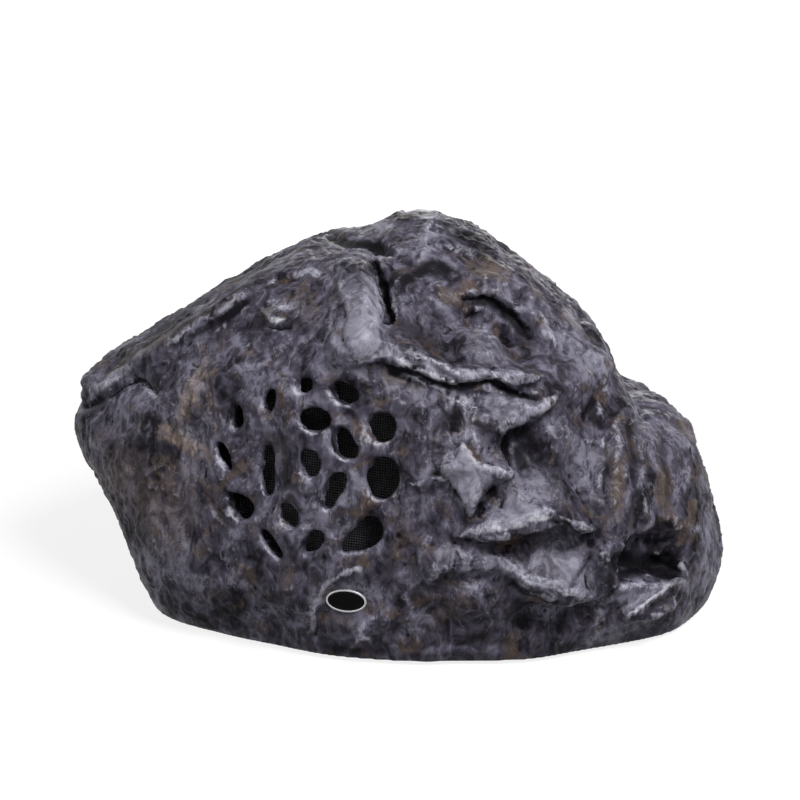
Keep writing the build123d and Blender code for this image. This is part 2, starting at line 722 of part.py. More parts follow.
# Driver levels, from the seat backwards
SCREEN_BACK = -SCREEN_THICKNESS
FLANGE_FRONT = SCREEN_BACK - DRIVER_GASKET_THICKNESS
FLANGE_BACK = FLANGE_FRONT - BASKET_SHEET
LAND = FLANGE_FRONT - SURROUND_LAND_DROP
LEDGE = FLANGE_FRONT - SPIDER_LEDGE_DEPTH
PAN = FLANGE_FRONT - BASKET_DEPTH
PAN_BACK = PAN - BASKET_SHEET
TOP_PLATE_BACK = PAN_BACK - PLATE_THICKNESS
MAGNET_BACK = TOP_PLATE_BACK - MAGNET_HEIGHT
YOKE_BACK = MAGNET_BACK - PLATE_THICKNESS
LAND_OUTER = DRIVER_RADIUS - FLANGE_WIDTH
LAND_INNER = LAND_OUTER - SURROUND_LAND_WIDTH
LEDGE_INNER = PAN_RADIUS + BASKET_SHEET
LEDGE_OUTER = LEDGE_INNER + SPIDER_LEDGE_WIDTH
FORMER_INNER = POLE_RADIUS + POLE_CLEARANCE
FORMER_OUTER = FORMER_INNER + FORMER_THICKNESS
WINDING_OUTER = FORMER_OUTER + WINDING_THICKNESS
GAP_OUTER = WINDING_OUTER + COIL_CLEARANCE
ROLL_MIDDLE = LAND_INNER - SURROUND_ROLL
CONE_RIM = ROLL_MIDDLE - SURROUND_ROLL
CONE_SHOULDER = CONE_RIM - CONE_RIM_WIDTH
NECK = LAND - CONE_DROP
WINDING_MIDDLE = (PAN_BACK + TOP_PLATE_BACK) / 2


def cone_front(radius):
    """Height of the cone's front face at a radius."""
    return NECK + (LAND - NECK) * (radius - FORMER_OUTER) / (CONE_SHOULDER - FORMER_OUTER)


def driver_screw_holes():
    """Clearance holes for the driver's screws."""
    return on_circle(DRIVER_SCREWS, SCREW_CIRCLE, rod(SCREW_HOLE_RADIUS, -FAR, FAR))


def make_screen():
    """Fine mesh disc clamped behind the sound holes."""
    return seat * (rod(DRIVER_RADIUS, SCREEN_BACK, 0) - driver_screw_holes())


def make_driver_gasket():
    """Foam ring between the screen and the driver's flange."""
    return seat * (ring(DRIVER_RADIUS, LAND_OUTER, FLANGE_FRONT, SCREEN_BACK) - driver_screw_holes())


def make_basket():
    """Pressed basket: flange, surround land, windowed wall, spider ledge and pan."""
    front = [
        (DRIVER_RADIUS, FLANGE_FRONT), (LAND_OUTER, FLANGE_FRONT), (LAND_OUTER, LAND), (LAND_INNER, LAND),
        (LEDGE_OUTER, LEDGE), (LEDGE_INNER, LEDGE), (PAN_RADIUS, PAN), (GAP_OUTER + COIL_CLEARANCE, PAN),
    ]
    back = [(r + BASKET_SHEET, z - BASKET_SHEET) for r, z in front[1:-1]]
    outline = front + [(front[-1][0], PAN_BACK)] + back[::-1] + [(DRIVER_RADIUS, FLANGE_BACK)]
    window_tall = WINDOW_TO - WINDOW_FROM
    window = Box(LAND_OUTER - LEDGE_INNER + BASKET_SHEET, WINDOW_WIDTH, window_tall)
    window = fillet(window.edges().filter_by(Axis.X), WINDOW_CORNER)
    window = Pos(0, 0, FLANGE_FRONT - (WINDOW_FROM + WINDOW_TO) / 2) * window
    windows = on_circle(BASKET_WINDOWS, (LAND_OUTER + LEDGE_INNER) / 2 + BASKET_SHEET, window)
    return seat * (turned(outline) - driver_screw_holes() - windows)


def make_yoke():
    """Back plate and pole in one turned piece."""
    return seat * turned([
        (0, YOKE_BACK), (PLATE_RADIUS, YOKE_BACK), (PLATE_RADIUS, MAGNET_BACK), (POLE_RADIUS, MAGNET_BACK),
        (POLE_RADIUS, PAN_BACK), (0, PAN_BACK),
    ])


def make_former():
    """Thin tube that carries the winding and ends in the cone's neck."""
    return seat * ring(FORMER_OUTER, FORMER_INNER, NECK + PILOT_SPARE - FORMER_LENGTH, NECK + PILOT_SPARE)


def make_voice_winding():
    """Copper winding about the former, centred in the magnet's gap."""
    low = WINDING_MIDDLE - WINDING_LENGTH / 2
    return seat * ring(WINDING_OUTER, FORMER_OUTER, low, low + WINDING_LENGTH)


def make_cone():
    """Straight paper cone with a flat rim."""
    front = [(CONE_RIM, LAND), (CONE_SHOULDER, LAND), (FORMER_OUTER, NECK)]
    back = [(r, z - CONE_THICKNESS) for r, z in front]
    return seat * turned(front + back[::-1])


def make_dust_cap():
    """Domed cap whose foot lies on the cone's front face."""
    foot = cone_front(DUST_CAP_RADIUS)
    inner = DUST_CAP_RADIUS - DUST_CAP_THICKNESS
    top = foot + DUST_CAP_RISE
    sphere = (DUST_CAP_RADIUS ** 2 + DUST_CAP_RISE ** 2) / (2 * DUST_CAP_RISE)
    half_turn = np.arcsin(DUST_CAP_RADIUS / sphere) / 2
    shoulder = (sphere * np.sin(half_turn), top - sphere * (1 - np.cos(half_turn)))
    shoulder_in = (shoulder[0] - DUST_CAP_THICKNESS / 2, shoulder[1] - DUST_CAP_THICKNESS)
    section = make_face([
        ThreePointArc((DUST_CAP_RADIUS, 0, foot), (shoulder[0], 0, shoulder[1]), (0, 0, top)),
        Line((0, 0, top), (0, 0, top - DUST_CAP_THICKNESS)),
        ThreePointArc((0, 0, top - DUST_CAP_THICKNESS), (shoulder_in[0], 0, shoulder_in[1]),
                      (inner, 0, cone_front(inner))),
        Line((inner, 0, cone_front(inner)), (DUST_CAP_RADIUS, 0, foot)),
    ])
    return seat * revolve(section, Axis.Z)


def make_surround():
    """Rubber half roll between the cone's rim and the basket's land."""
    top = LAND + SURROUND_THICKNESS
    inner_roll = SURROUND_ROLL - SURROUND_THICKNESS
    lip, edge = CONE_SHOULDER + SURROUND_THICKNESS, LAND_OUTER - SURROUND_MARGIN
    section = make_face([
        Polyline((ROLL_MIDDLE - SURROUND_ROLL, 0, top), (lip, 0, top), (lip, 0, LAND),
                 (ROLL_MIDDLE - inner_roll, 0, LAND)),
        ThreePointArc((ROLL_MIDDLE - inner_roll, 0, LAND), (ROLL_MIDDLE, 0, LAND + inner_roll),
                      (ROLL_MIDDLE + inner_roll, 0, LAND)),
        Polyline((ROLL_MIDDLE + inner_roll, 0, LAND), (edge, 0, LAND), (edge, 0, top),
                 (ROLL_MIDDLE + SURROUND_ROLL, 0, top)),
        ThreePointArc((ROLL_MIDDLE + SURROUND_ROLL, 0, top), (ROLL_MIDDLE, 0, top + SURROUND_ROLL),
                      (ROLL_MIDDLE - SURROUND_ROLL, 0, top)),
    ])
    return seat * revolve(section, Axis.Z)


def make_spider():
    """Corrugated disc from the former to the basket's ledge."""
    folds = np.linspace(FORMER_OUTER + SPIDER_NECK, LEDGE_INNER, SPIDER_FOLDS)
    low = [(FORMER_OUTER, LEDGE)]
    low += [(r, LEDGE + SPIDER_WAVE * (i % 2)) for i, r in enumerate(folds)]
    low += [(LEDGE_OUTER - SPIDER_THICKNESS, LEDGE)]
    return seat * turned(low + [(r, z + SPIDER_THICKNESS) for r, z in reversed(low)])


def make_driver_terminal():
    """Strip with two solder tags on the back of the basket's flange."""
    long, wide, thick = TERMINAL_STRIP
    tag = Pos(0, TERMINAL_TAG[1] / 4, -thick - TERMINAL_TAG[2] / 2) * Box(*TERMINAL_TAG)
    strip = Pos(0, 0, -thick / 2) * Box(long, wide, thick)
    strip = strip + [Pos(x, 0, 0) * tag for x in (-long / 4, long / 4)]
    between = 180 / DRIVER_SCREWS
    middle = (DRIVER_RADIUS + LAND_OUTER) / 2 + BASKET_SHEET / 2
    return seat * Rot(0, 0, 90 + between) * Pos(middle, 0, FLANGE_BACK) * Rot(0, 0, -90) * strip


def make_driver_screws():
    """Screws that clamp flange, gasket and screen to the collar."""
    screw = Pos(0, 0, FLANGE_BACK) * pan_screw(DRIVER_SCREW_BITE - FLANGE_BACK)
    return group(seat * copy for copy in on_circle(DRIVER_SCREWS, SCREW_CIRCLE, screw))


def make_base_plate():
    """Flat plate that closes the rock, drilled for its screws, the feet and what stands on it."""
    plate = footprint_block(RIM_WIDTH + BASE_CLEARANCE, PLATE_LOW, PLATE_TOP)
    drills = place_all(rod(SCREW_HOLE_RADIUS, -FOOT_HEIGHT, FAR), base_screw_spots, 0)
    drills += place_all(rod(FOOT_STEM_RADIUS, -FOOT_HEIGHT, FAR), foot_spots, 0)
    strap_pilot = rod(SCREW_RADIUS + THREAD_FIT, PLATE_LOW + PILOT_SPARE, FAR)
    drills += [Pos(x, TRANSFORMER_Y, 0) * strap_pilot for x in strap_screw_places()]
    return plate - drills


def make_base_gasket():
    """Rubber ring between the base plate and the rock's flange."""
    outer = footprint_block(RIM_WIDTH + GASKET_MARGIN, PLATE_TOP, BASE_FLANGE_LOW)
    inner = footprint_block(RIM_WIDTH + BASE_FLANGE_WIDTH - GASKET_MARGIN, PLATE_TOP, BASE_FLANGE_LOW)
    return outer - inner - place_all(rod(SCREW_HOLE_RADIUS, 0, FAR), base_screw_spots, 0)


def make_base_screws():
    """Screws through the plate and gasket into the rock's flange."""
    grip = BASE_FLANGE_LOW - PLATE_LOW + BASE_FLANGE_THICKNESS - 2 * PILOT_SPARE
    return group(place_all(pan_screw(grip), base_screw_spots, PLATE_LOW))


def make_feet():
    """Rubber feet with stems pulled through the plate and held by barbs."""
    foot = turned([
        (0, 0), (FOOT_RADIUS - FOOT_CHAMFER, 0), (FOOT_RADIUS, FOOT_CHAMFER),
        (FOOT_RADIUS, PLATE_LOW - FOOT_CHAMFER), (FOOT_RADIUS - FOOT_CHAMFER, PLATE_LOW),
        (FOOT_STEM_RADIUS, PLATE_LOW), (FOOT_STEM_RADIUS, PLATE_TOP), (FOOT_BARB_RADIUS, PLATE_TOP),
        (FOOT_BARB_TIP_RADIUS, PLATE_TOP + FOOT_BARB_HEIGHT), (0, PLATE_TOP + FOOT_BARB_HEIGHT),
    ])
    return group(place_all(foot, foot_spots, 0))


def strap_screw_places():
    """Places along X of the two screws that hold the transformer's strap."""
    reach = CORE_WIDTH / 2 + STRAP + STRAP_FOOT / 2
    return TRANSFORMER_X - reach, TRANSFORMER_X + reach


WINDOW_SPAN = (CORE_WIDTH - 4 * CORE_LEG) / 2
WINDOW_TALL = CORE_TALL - 2 * CORE_LEG
transformer = Pos(TRANSFORMER_X, TRANSFORMER_Y, PLATE_TOP + CORE_TALL / 2)


def make_transformer_core():
    """Laminated core with two windows and a double-width middle leg."""
    window = Box(WINDOW_SPAN, 2 * CORE_STACK, WINDOW_TALL)
    middle = CORE_LEG + WINDOW_SPAN / 2
    block = Box(CORE_WIDTH, CORE_STACK, CORE_TALL)
    return transformer * (block - [Pos(x, 0, 0) * window for x in (-middle, middle)])


def bobbin_block(grow, tall):
    """Block about the core's middle leg, grown evenly on its four sides."""
    return Box(2 * CORE_LEG + 2 * grow, CORE_STACK + 2 * grow, tall)


def make_transformer_bobbin():
    """Moulded bobbin: a square tube with a flange at each end."""
    tall = WINDOW_TALL - 2 * BOBBIN_FIT
    reach = BOBBIN_FIT + BOBBIN_WALL
    tube = bobbin_block(reach, tall)
    flange = bobbin_block(min(reach + BOBBIN_FLANGE, WINDOW_SPAN - BOBBIN_FIT), BOBBIN_WALL)
    ends = [Pos(0, 0, z) * flange for z in (BOBBIN_WALL / 2 - tall / 2, tall / 2 - BOBBIN_WALL / 2)]
    return transformer * (tube + ends - bobbin_block(BOBBIN_FIT, 2 * tall))


def make_transformer_winding():
    """Taped winding on the bobbin, between its flanges."""
    tall = WINDOW_TALL - 2 * BOBBIN_FIT - 2 * BOBBIN_WALL
    reach = BOBBIN_FIT + BOBBIN_WALL
    return transformer * (bobbin_block(reach + WINDING_BUILD, tall) - bobbin_block(reach, 2 * tall))


def make_transformer_strap():
    """Bent steel strap over the core, with a screw foot at each side."""
    half, top = CORE_WIDTH / 2, PLATE_TOP + CORE_TALL
    bends = [
        (-half - STRAP - STRAP_FOOT, PLATE_TOP), (-half, PLATE_TOP), (-half, top), (half, top),
        (half, PLATE_TOP), (half + STRAP + STRAP_FOOT, PLATE_TOP),
        (half + STRAP + STRAP_FOOT, PLATE_TOP + STRAP),
        (half + STRAP, PLATE_TOP + STRAP), (half + STRAP, top + STRAP), (-half - STRAP, top + STRAP),
        (-half - STRAP, PLATE_TOP + STRAP), (-half - STRAP - STRAP_FOOT, PLATE_TOP + STRAP),
    ]
    section = make_face(Polyline(*[(x, 0, z) for x, z in bends], close=True))
    strap = extrude(section, STRAP_WIDTH / 2, dir=(0, 1, 0), both=True)
    drills = [Pos(x, TRANSFORMER_Y, 0) * rod(SCREW_HOLE_RADIUS, 0, FAR) for x in strap_screw_places()]
    return Pos(TRANSFORMER_X, TRANSFORMER_Y, 0) * strap - drills


def make_transformer_screws():
    """Screws that hold the strap's feet to the base plate."""
    screw = Rot(180, 0, 0) * pan_screw(STRAP + BASE_PLATE_THICKNESS - 2 * PILOT_SPARE)
    return group(Pos(x, TRANSFORMER_Y, PLATE_TOP + STRAP) * screw for x in strap_screw_places())


def block_ways():
    """Places along X of the terminal block's ways."""
    pitch = BLOCK_SIZE[0] / BLOCK_WAYS
    return [BLOCK_X + pitch * (i - (BLOCK_WAYS - 1) / 2) for i in range(BLOCK_WAYS)]


def make_terminal_block():
    """Moulded block with a wire way and a screw well for each pole."""
    long, wide, tall = BLOCK_SIZE
    body = Pos(BLOCK_X, BLOCK_Y, PLATE_TOP + tall / 2) * Box(long, wide, tall)
    body = chamfer(body.edges().group_by(Axis.Z)[-1], BLOCK_CHAMFER)
    way = Rot(90, 0, 0) * rod(BLOCK_WIRE_RADIUS, -wide, wide)
    well = rod(BLOCK_SCREW_RADIUS + THREAD_FIT, -BLOCK_SCREW_LENGTH - PILOT_SPARE, tall)
    cuts = [Pos(x, BLOCK_Y, PLATE_TOP + BLOCK_WIRE_HEIGHT) * way for x in block_ways()]
    cuts += [Pos(x, BLOCK_Y, PLATE_TOP + tall) * well for x in block_ways()]
    return body - cuts


def make_block_screws():
    """Slotted brass screws down in the block's wells."""
    screw = rod(BLOCK_SCREW_RADIUS, -BLOCK_SCREW_LENGTH, 0)
    screw = screw - Box(3 * BLOCK_SCREW_RADIUS, BLOCK_SLOT_WIDTH, 2 * BLOCK_SLOT_DEPTH)
    return group(Pos(x, BLOCK_Y, PLATE_TOP + BLOCK_SIZE[2] - PILOT_SPARE) * screw for x in block_ways())


def hexagon(across_flats, low, high):
    """Hexagonal bar about Z."""
    return Pos(0, 0, low) * extrude(RegularPolygon(across_flats / 2, 6, major_radius=False), high - low)


GLAND_TIP = GLAND_COLLAR + GLAND_MOUTH


def make_gland_body():
    """Gland body: hexagon against the pocket's floor, mouth for the seal, thread through the wall."""
    tail = -GLAND_WALL - LOCKNUT_THICKNESS - GLAND_COLLAR
    body = rod(GLAND_THREAD_RADIUS, tail, GLAND_TIP) + hexagon(GLAND_HEX, 0, GLAND_COLLAR)
    mouth = rod(GLAND_SEAL_RADIUS, GLAND_COLLAR, FAR)
    return gland * (body - rod(GLAND_BORE_RADIUS, -FAR, FAR) - mouth)


def make_gland_seal():
    """Rubber sleeve that grips a cable."""
    return gland * ring(GLAND_SEAL_RADIUS, CABLE_RADIUS, GLAND_COLLAR, GLAND_TIP)


def make_gland_nut():
    """Domed nut over the gland's mouth."""
    low, high = GLAND_COLLAR + NUT_GAP, GLAND_COLLAR + NUT_GAP + DOME_NUT_LENGTH
    cap = GLAND_TIP + THREAD_FIT
    return gland * turned([
        (GLAND_THREAD_RADIUS + THREAD_FIT, low), (DOME_NUT_RADIUS, low), (DOME_NUT_RADIUS, cap),
        (DOME_NUT_SHOULDER_RADIUS, (cap + high) / 2), (DOME_NUT_TIP_RADIUS, high),
        (GLAND_BORE_RADIUS, high), (GLAND_BORE_RADIUS, cap), (GLAND_THREAD_RADIUS + THREAD_FIT, cap),
    ])


def make_gland_locknut():
    """Hexagonal nut that draws the gland against the inside of the wall."""
    bar = hexagon(GLAND_HEX, -GLAND_WALL - LOCKNUT_THICKNESS, -GLAND_WALL)
    return gland * (bar - rod(GLAND_THREAD_RADIUS + THREAD_FIT, -FAR, FAR))


PIECES = {
    "rock_shell": make_rock_shell(),
    "badge_plate": make_badge(),
    "grille_screen": make_screen(),
    "driver_gasket": make_driver_gasket(),
    "driver_basket": make_basket(),
    "driver_top_plate": seat * ring(PLATE_RADIUS, GAP_OUTER, TOP_PLATE_BACK, PAN_BACK),
    "driver_magnet": seat * ring(MAGNET_RADIUS, MAGNET_BORE_RADIUS, MAGNET_BACK, TOP_PLATE_BACK),
    "driver_yoke": make_yoke(),
    "voice_coil_former": make_former(),
    "voice_coil_winding": make_voice_winding(),
    "driver_cone": make_cone(),
    "dust_cap": make_dust_cap(),
    "cone_surround": make_surround(),
    "cone_spider": make_spider(),
    "driver_terminal_strip": make_driver_terminal(),
    "driver_screws": make_driver_screws(),
    "base_plate": make_base_plate(),
    "base_gasket": make_base_gasket(),
    "base_screws": make_base_screws(),
    "rubber_feet": make_feet(),
    "transformer_core": make_transformer_core(),
    "transformer_bobbin": make_transformer_bobbin(),
    "transformer_winding": make_transformer_winding(),
    "transformer_strap": make_transformer_strap(),
    "transformer_screws": make_transformer_screws(),
    "terminal_block": make_terminal_block(),
    "terminal_block_screws": make_block_screws(),
    "cable_gland_body": make_gland_body(),
    "cable_gland_seal": make_gland_seal(),
    "cable_gland_nut": make_gland_nut(),
    "cable_gland_locknut": make_gland_locknut(),
}

os.makedirs("parts", exist_ok=True)
for name, piece in PIECES.items():
    export_step(piece, f"parts/{name}.step")
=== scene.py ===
"""Looks of a rock shaped garden speaker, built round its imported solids.

The rock is the frame's own shell, remeshed, softened and carved finer, then weathered by a node
tree and painted with brush strokes. Everything else keeps its solid or is made to seat on it.
"""

import json
import logging
import math
from dataclasses import dataclass
from enum import Enum

import bmesh
import bpy
import numpy as np
from bpy.types import Material, Mesh, Node, NodeOutputs, NodeSocket, NodeTree, Object
from mathutils import Matrix, Vector
from mathutils.kdtree import KDTree

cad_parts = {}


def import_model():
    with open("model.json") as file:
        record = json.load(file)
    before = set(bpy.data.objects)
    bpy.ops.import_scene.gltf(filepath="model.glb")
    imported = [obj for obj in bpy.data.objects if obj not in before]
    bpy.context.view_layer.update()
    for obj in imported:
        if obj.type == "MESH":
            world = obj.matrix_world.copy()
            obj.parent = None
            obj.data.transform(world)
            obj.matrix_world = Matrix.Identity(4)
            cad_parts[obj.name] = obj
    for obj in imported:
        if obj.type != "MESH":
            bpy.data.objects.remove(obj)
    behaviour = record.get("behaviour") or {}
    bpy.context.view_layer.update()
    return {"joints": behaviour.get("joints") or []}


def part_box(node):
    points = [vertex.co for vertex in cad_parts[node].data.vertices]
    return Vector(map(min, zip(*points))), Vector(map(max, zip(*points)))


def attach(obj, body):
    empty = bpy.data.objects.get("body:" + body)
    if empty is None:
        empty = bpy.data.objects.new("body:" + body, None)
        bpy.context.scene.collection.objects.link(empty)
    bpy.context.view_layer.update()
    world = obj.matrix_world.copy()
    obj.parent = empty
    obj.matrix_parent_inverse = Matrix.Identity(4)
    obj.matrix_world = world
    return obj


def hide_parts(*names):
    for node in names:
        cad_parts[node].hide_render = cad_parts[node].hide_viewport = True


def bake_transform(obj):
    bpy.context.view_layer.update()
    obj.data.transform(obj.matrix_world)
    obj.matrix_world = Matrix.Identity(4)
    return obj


Pair = tuple[float, float]
Triple = tuple[float, float, float]
# Points in pixels of the picture.
Drawing = tuple[Pair, ...]

LOG = logging.getLogger("garden_speaker")
MM = 0.001
BODY = "enclosure"
# Points closer than this are one point.
WELD_MM = 0.001
# Noise lies about its middle, and most of it within the spread.
NOISE_MIDDLE = 0.5
NOISE_SPREAD = (0.3, 0.7)
# A wave's bands are about this part of a unit apart at a scale of one.
WAVE_SPACING = 0.314
# Blender's names of the nodes that are used most.
MATH = "ShaderNodeMath"
VECTOR_MATH = "ShaderNodeVectorMath"
MAP_RANGE = "ShaderNodeMapRange"
NOISE = "ShaderNodeTexNoise"
COMBINE = "ShaderNodeCombineXYZ"
TRANSFORM = "GeometryNodeTransform"


def linear(colour: str) -> tuple[float, float, float, float]:
    """Turn an sRGB hex colour into linear RGBA.

    Args:
        colour: six hex digits after a hash sign.

    Returns:
        Linear red, green, blue and an alpha of one.
    """
    channels = [int(colour[i:i + 2], 16) / 255 for i in (1, 3, 5)]
    red, green, blue = [c / 12.92 if c <= 0.04045 else ((c + 0.055) / 1.055) ** 2.4 for c in channels]
    return red, green, blue, 1.0


def add_node(tree: NodeTree, kind: str, inputs: dict | None = None,
             **settings: object) -> Node:
    """Add a node with its settings, values and links.

    Args:
        tree: the node tree that gets the node.
        kind: Blender's name of the node's type.
        inputs: socket names or numbers, each with a value or with the output socket to link.
        **settings: properties of the node itself.

    Returns:
        The new node.
    """
    node = tree.nodes.new(kind)
    for name, value in settings.items():
        setattr(node, name, value)
    for key, value in (inputs or {}).items():
        if isinstance(value, NodeSocket):
            tree.links.new(value, node.inputs[key])
        else:
            node.inputs[key].default_value = value
    return node


def smoothstep(share: np.ndarray) -> np.ndarray:
    """Ease from 0 to 1 as the share goes from 0 to 1."""
    share = np.clip(share, 0, 1)
    return share * share * (3 - 2 * share)


def eased(values: np.ndarray, span: Pair) -> np.ndarray:
    """Ease from 0 to 1 over a span, which is a start and a length."""
    start, length = span
    return smoothstep((values - start) / length)


def limits(before: Pair, after: Pair = (0.0, 1.0)) -> dict[str, float]:
    """Name the ends of a map from one range to another."""
    return dict(zip(("From Min", "From Max", "To Min", "To Max"), before + after))


def vectors(source: bpy.types.bpy_prop_collection, name: str) -> np.ndarray:
    """Read a vector for each of a mesh's points.

    Args:
        source: the points or their normals.
        name: Blender's name of the vector.

    Returns:
        One row for each point.
    """
    flat = np.empty(len(source) * 3, np.float32)
    source.foreach_get(name, flat)
    return flat.reshape(-1, 3).astype(float)


def coordinates(mesh: Mesh) -> np.ndarray:
    """Positions of a mesh's points, one row each."""
    return vectors(mesh.vertices, "co")


def normals(mesh: Mesh) -> np.ndarray:
    """Normals of a mesh's points, one row each."""
    return vectors(mesh.vertex_normals, "vector")


def set_coordinates(mesh: Mesh, points: np.ndarray) -> None:
    """Move a mesh's points to new positions."""
    mesh.vertices.foreach_set("co", points.astype(np.float32).ravel())
    mesh.update()


def set_attribute(mesh: Mesh, name: str, values: np.ndarray) -> None:
    """Store one number for each point of a mesh."""
    layer = mesh.attributes.get(name) or mesh.attributes.new(name, "FLOAT", "POINT")
    layer.data.foreach_set("value", values.astype(np.float32))


def new_object(name: str, mesh: Mesh) -> Object:
    """Put a mesh into the scene as an object at the origin.

    Args:
        name: the object's name.
        mesh: what it shows.

    Returns:
        The new object.
    """
    piece = bpy.data.objects.new(name, mesh)
    bpy.context.scene.collection.objects.link(piece)
    return piece


def merged_copy(node: str) -> bmesh.types.BMesh:
    """Copy a solid's mesh with its loose triangles joined.

    Args:
        node: the solid's name in the frame.

    Returns:
        The joined mesh, to be freed by the caller.
    """
    work = bmesh.new()
    work.from_mesh(bpy.data.objects[node].data)
    bmesh.ops.remove_doubles(work, verts=work.verts, dist=WELD_MM * MM)
    return work


def made_plain(piece: Object) -> None:
    """Replace a piece's mesh by its evaluated one and remove its modifiers.

    Args:
        piece: the object to change.
    """
    bpy.context.view_layer.update()
    graph = bpy.context.evaluated_depsgraph_get()
    mesh = bpy.data.meshes.new_from_object(piece.evaluated_get(graph))
    old = piece.data
    piece.modifiers.clear()
    piece.data = mesh
    bpy.data.meshes.remove(old)


def use_tree(piece: Object, tree: NodeTree, values: dict) -> None:
    """Run a geometry node tree on a piece and keep its result as a plain mesh.

    Args:
        piece: the object whose mesh goes through the tree.
        tree: the geometry node tree.
        values: the tree's named inputs and their values.
    """
    modifier = piece.modifiers.new(tree.name, "NODES")
    modifier.node_group = tree
    named = {item.name: item.identifier for item in tree.interface.items_tree if item.in_out == "INPUT"}
    for name, value in values.items():
        modifier[named[name]] = value
    made_plain(piece)


def new_tree(name: str, inputs: dict[str, str]) -> NodeTree:
    """Start a geometry node tree with a mesh in and out and named inputs.

    Args:
        name: what the tree makes.
        inputs: each further input's name and socket type.

    Returns:
        The tree, without nodes.
    """
    tree = bpy.data.node_groups.new(name, "GeometryNodeTree")
    tree.interface.new_socket("Geometry", in_out="INPUT", socket_type="NodeSocketGeometry")
    for socket, kind in inputs.items():
        tree.interface.new_socket(socket, in_out="INPUT", socket_type=kind)
    tree.interface.new_socket("Geometry", in_out="OUTPUT", socket_type="NodeSocketGeometry")
    return tree


def close_tree(tree: NodeTree, geometry: NodeSocket, material: NodeSocket | None) -> None:
    """Hand out a tree's geometry as plain mesh.

    Args:
        tree: the geometry node tree.
        geometry: what it made.
        material: the material of every face, if it has one yet.
    """
    real = add_node(tree, "GeometryNodeRealizeInstances", {"Geometry": geometry}).outputs[0]
    dressed = add_node(tree, "GeometryNodeSetMaterial", {"Geometry": real, "Material": material})
    add_node(tree, "NodeGroupOutput", {"Geometry": dressed.outputs[0]})


def path_distance(spots: np.ndarray, path: np.ndarray) -> tuple[np.ndarray, np.ndarray]:
    """Distance from spots to a drawn path.

    Args:
        spots: millimetres across and up, one row each.
        path: the points of the path, in order, in the same millimetres.

    Returns:
        The distances, and whether each spot lies left of the path.
    """
    best = np.full(len(spots), np.inf)
    left = np.zeros(len(spots), bool)
    for start, end in zip(path[:-1], path[1:]):
        run = end - start
        share = np.clip((spots - start) @ run / (run @ run), 0, 1)
        off = spots - start - share[:, None] * run
        reach = np.hypot(off[:, 0], off[:, 1])
        closer = reach < best
        best[closer] = reach[closer]
        side = run[0] * (spots[:, 1] - start[1]) - run[1] * (spots[:, 0] - start[0])
        left[closer] = side[closer] > 0
    return best, left


@dataclass(frozen=True)
class PictureView:
    """The photograph's point of view, which the camera and the marks on the rock share.

    Its sheet is a plane through the target, square to the view, measured across and up from the middle.
    """

    lens: float = 80.0
    sensor: float = 36.0
    target: Triple = (0.0013, 0.0070, 0.130)
    distance: float = 1.26
    elevation: float = 18.0
    picture_px: int = 800

    def back(self) -> Vector:
        """The way from the target to the eye."""
        tilt = math.radians(self.elevation)
        return Vector((0, -math.cos(tilt), math.sin(tilt)))

    def eye(self) -> Vector:
        """Where the camera stands."""
        return Vector(self.target) + self.back() * self.distance

    def sheet(self, pixels: Drawing) -> np.ndarray:
        """Put pixels of the picture on the sheet.

        Args:
            pixels: across and down from the picture's upper left corner.

        Returns:
            Millimetres across and up, one row each.
        """
        pixel_mm = self.distance / MM * self.sensor / self.lens / self.picture_px
        return (np.array(pixels, float) - self.picture_px / 2) * np.array((pixel_mm, -pixel_mm))

    def facing(self, ways: np.ndarray) -> np.ndarray:
        """How much each direction looks towards the eye, from -1 to 1."""
        return ways @ np.array(self.back())

    def seen(self, points: np.ndarray) -> np.ndarray:
        """Put points of the scene on the sheet, as the camera sees them.

        Args:
            points: positions in metres.

        Returns:
            Millimetres across and up, one row each.
        """
        back = np.array(self.back())
        right = np.array((1.0, 0.0, 0.0))
        up = np.cross(back, right)
        off = points - np.array(self.eye())
        scale = self.distance / MM / -(off @ back)
        return np.stack((off @ right, off @ up), axis=1) * scale[:, None]


VIEW = PictureView()


class Pattern(Enum):
    """How a finish's surface was made, with the finer layers of its noise and how much it is stirred."""

    GRAIN = ("moulded grain", 2.0, 0.0)
    CLOUD = ("soft blotches", 5.0, 0.0)
    STACK = ("stacked sheets or wound wire", 2.0, 0.4)
    WEAVE = ("crossed threads", 2.0, 0.6)
    FIBRE = ("felted fibres", 4.0, 2.5)


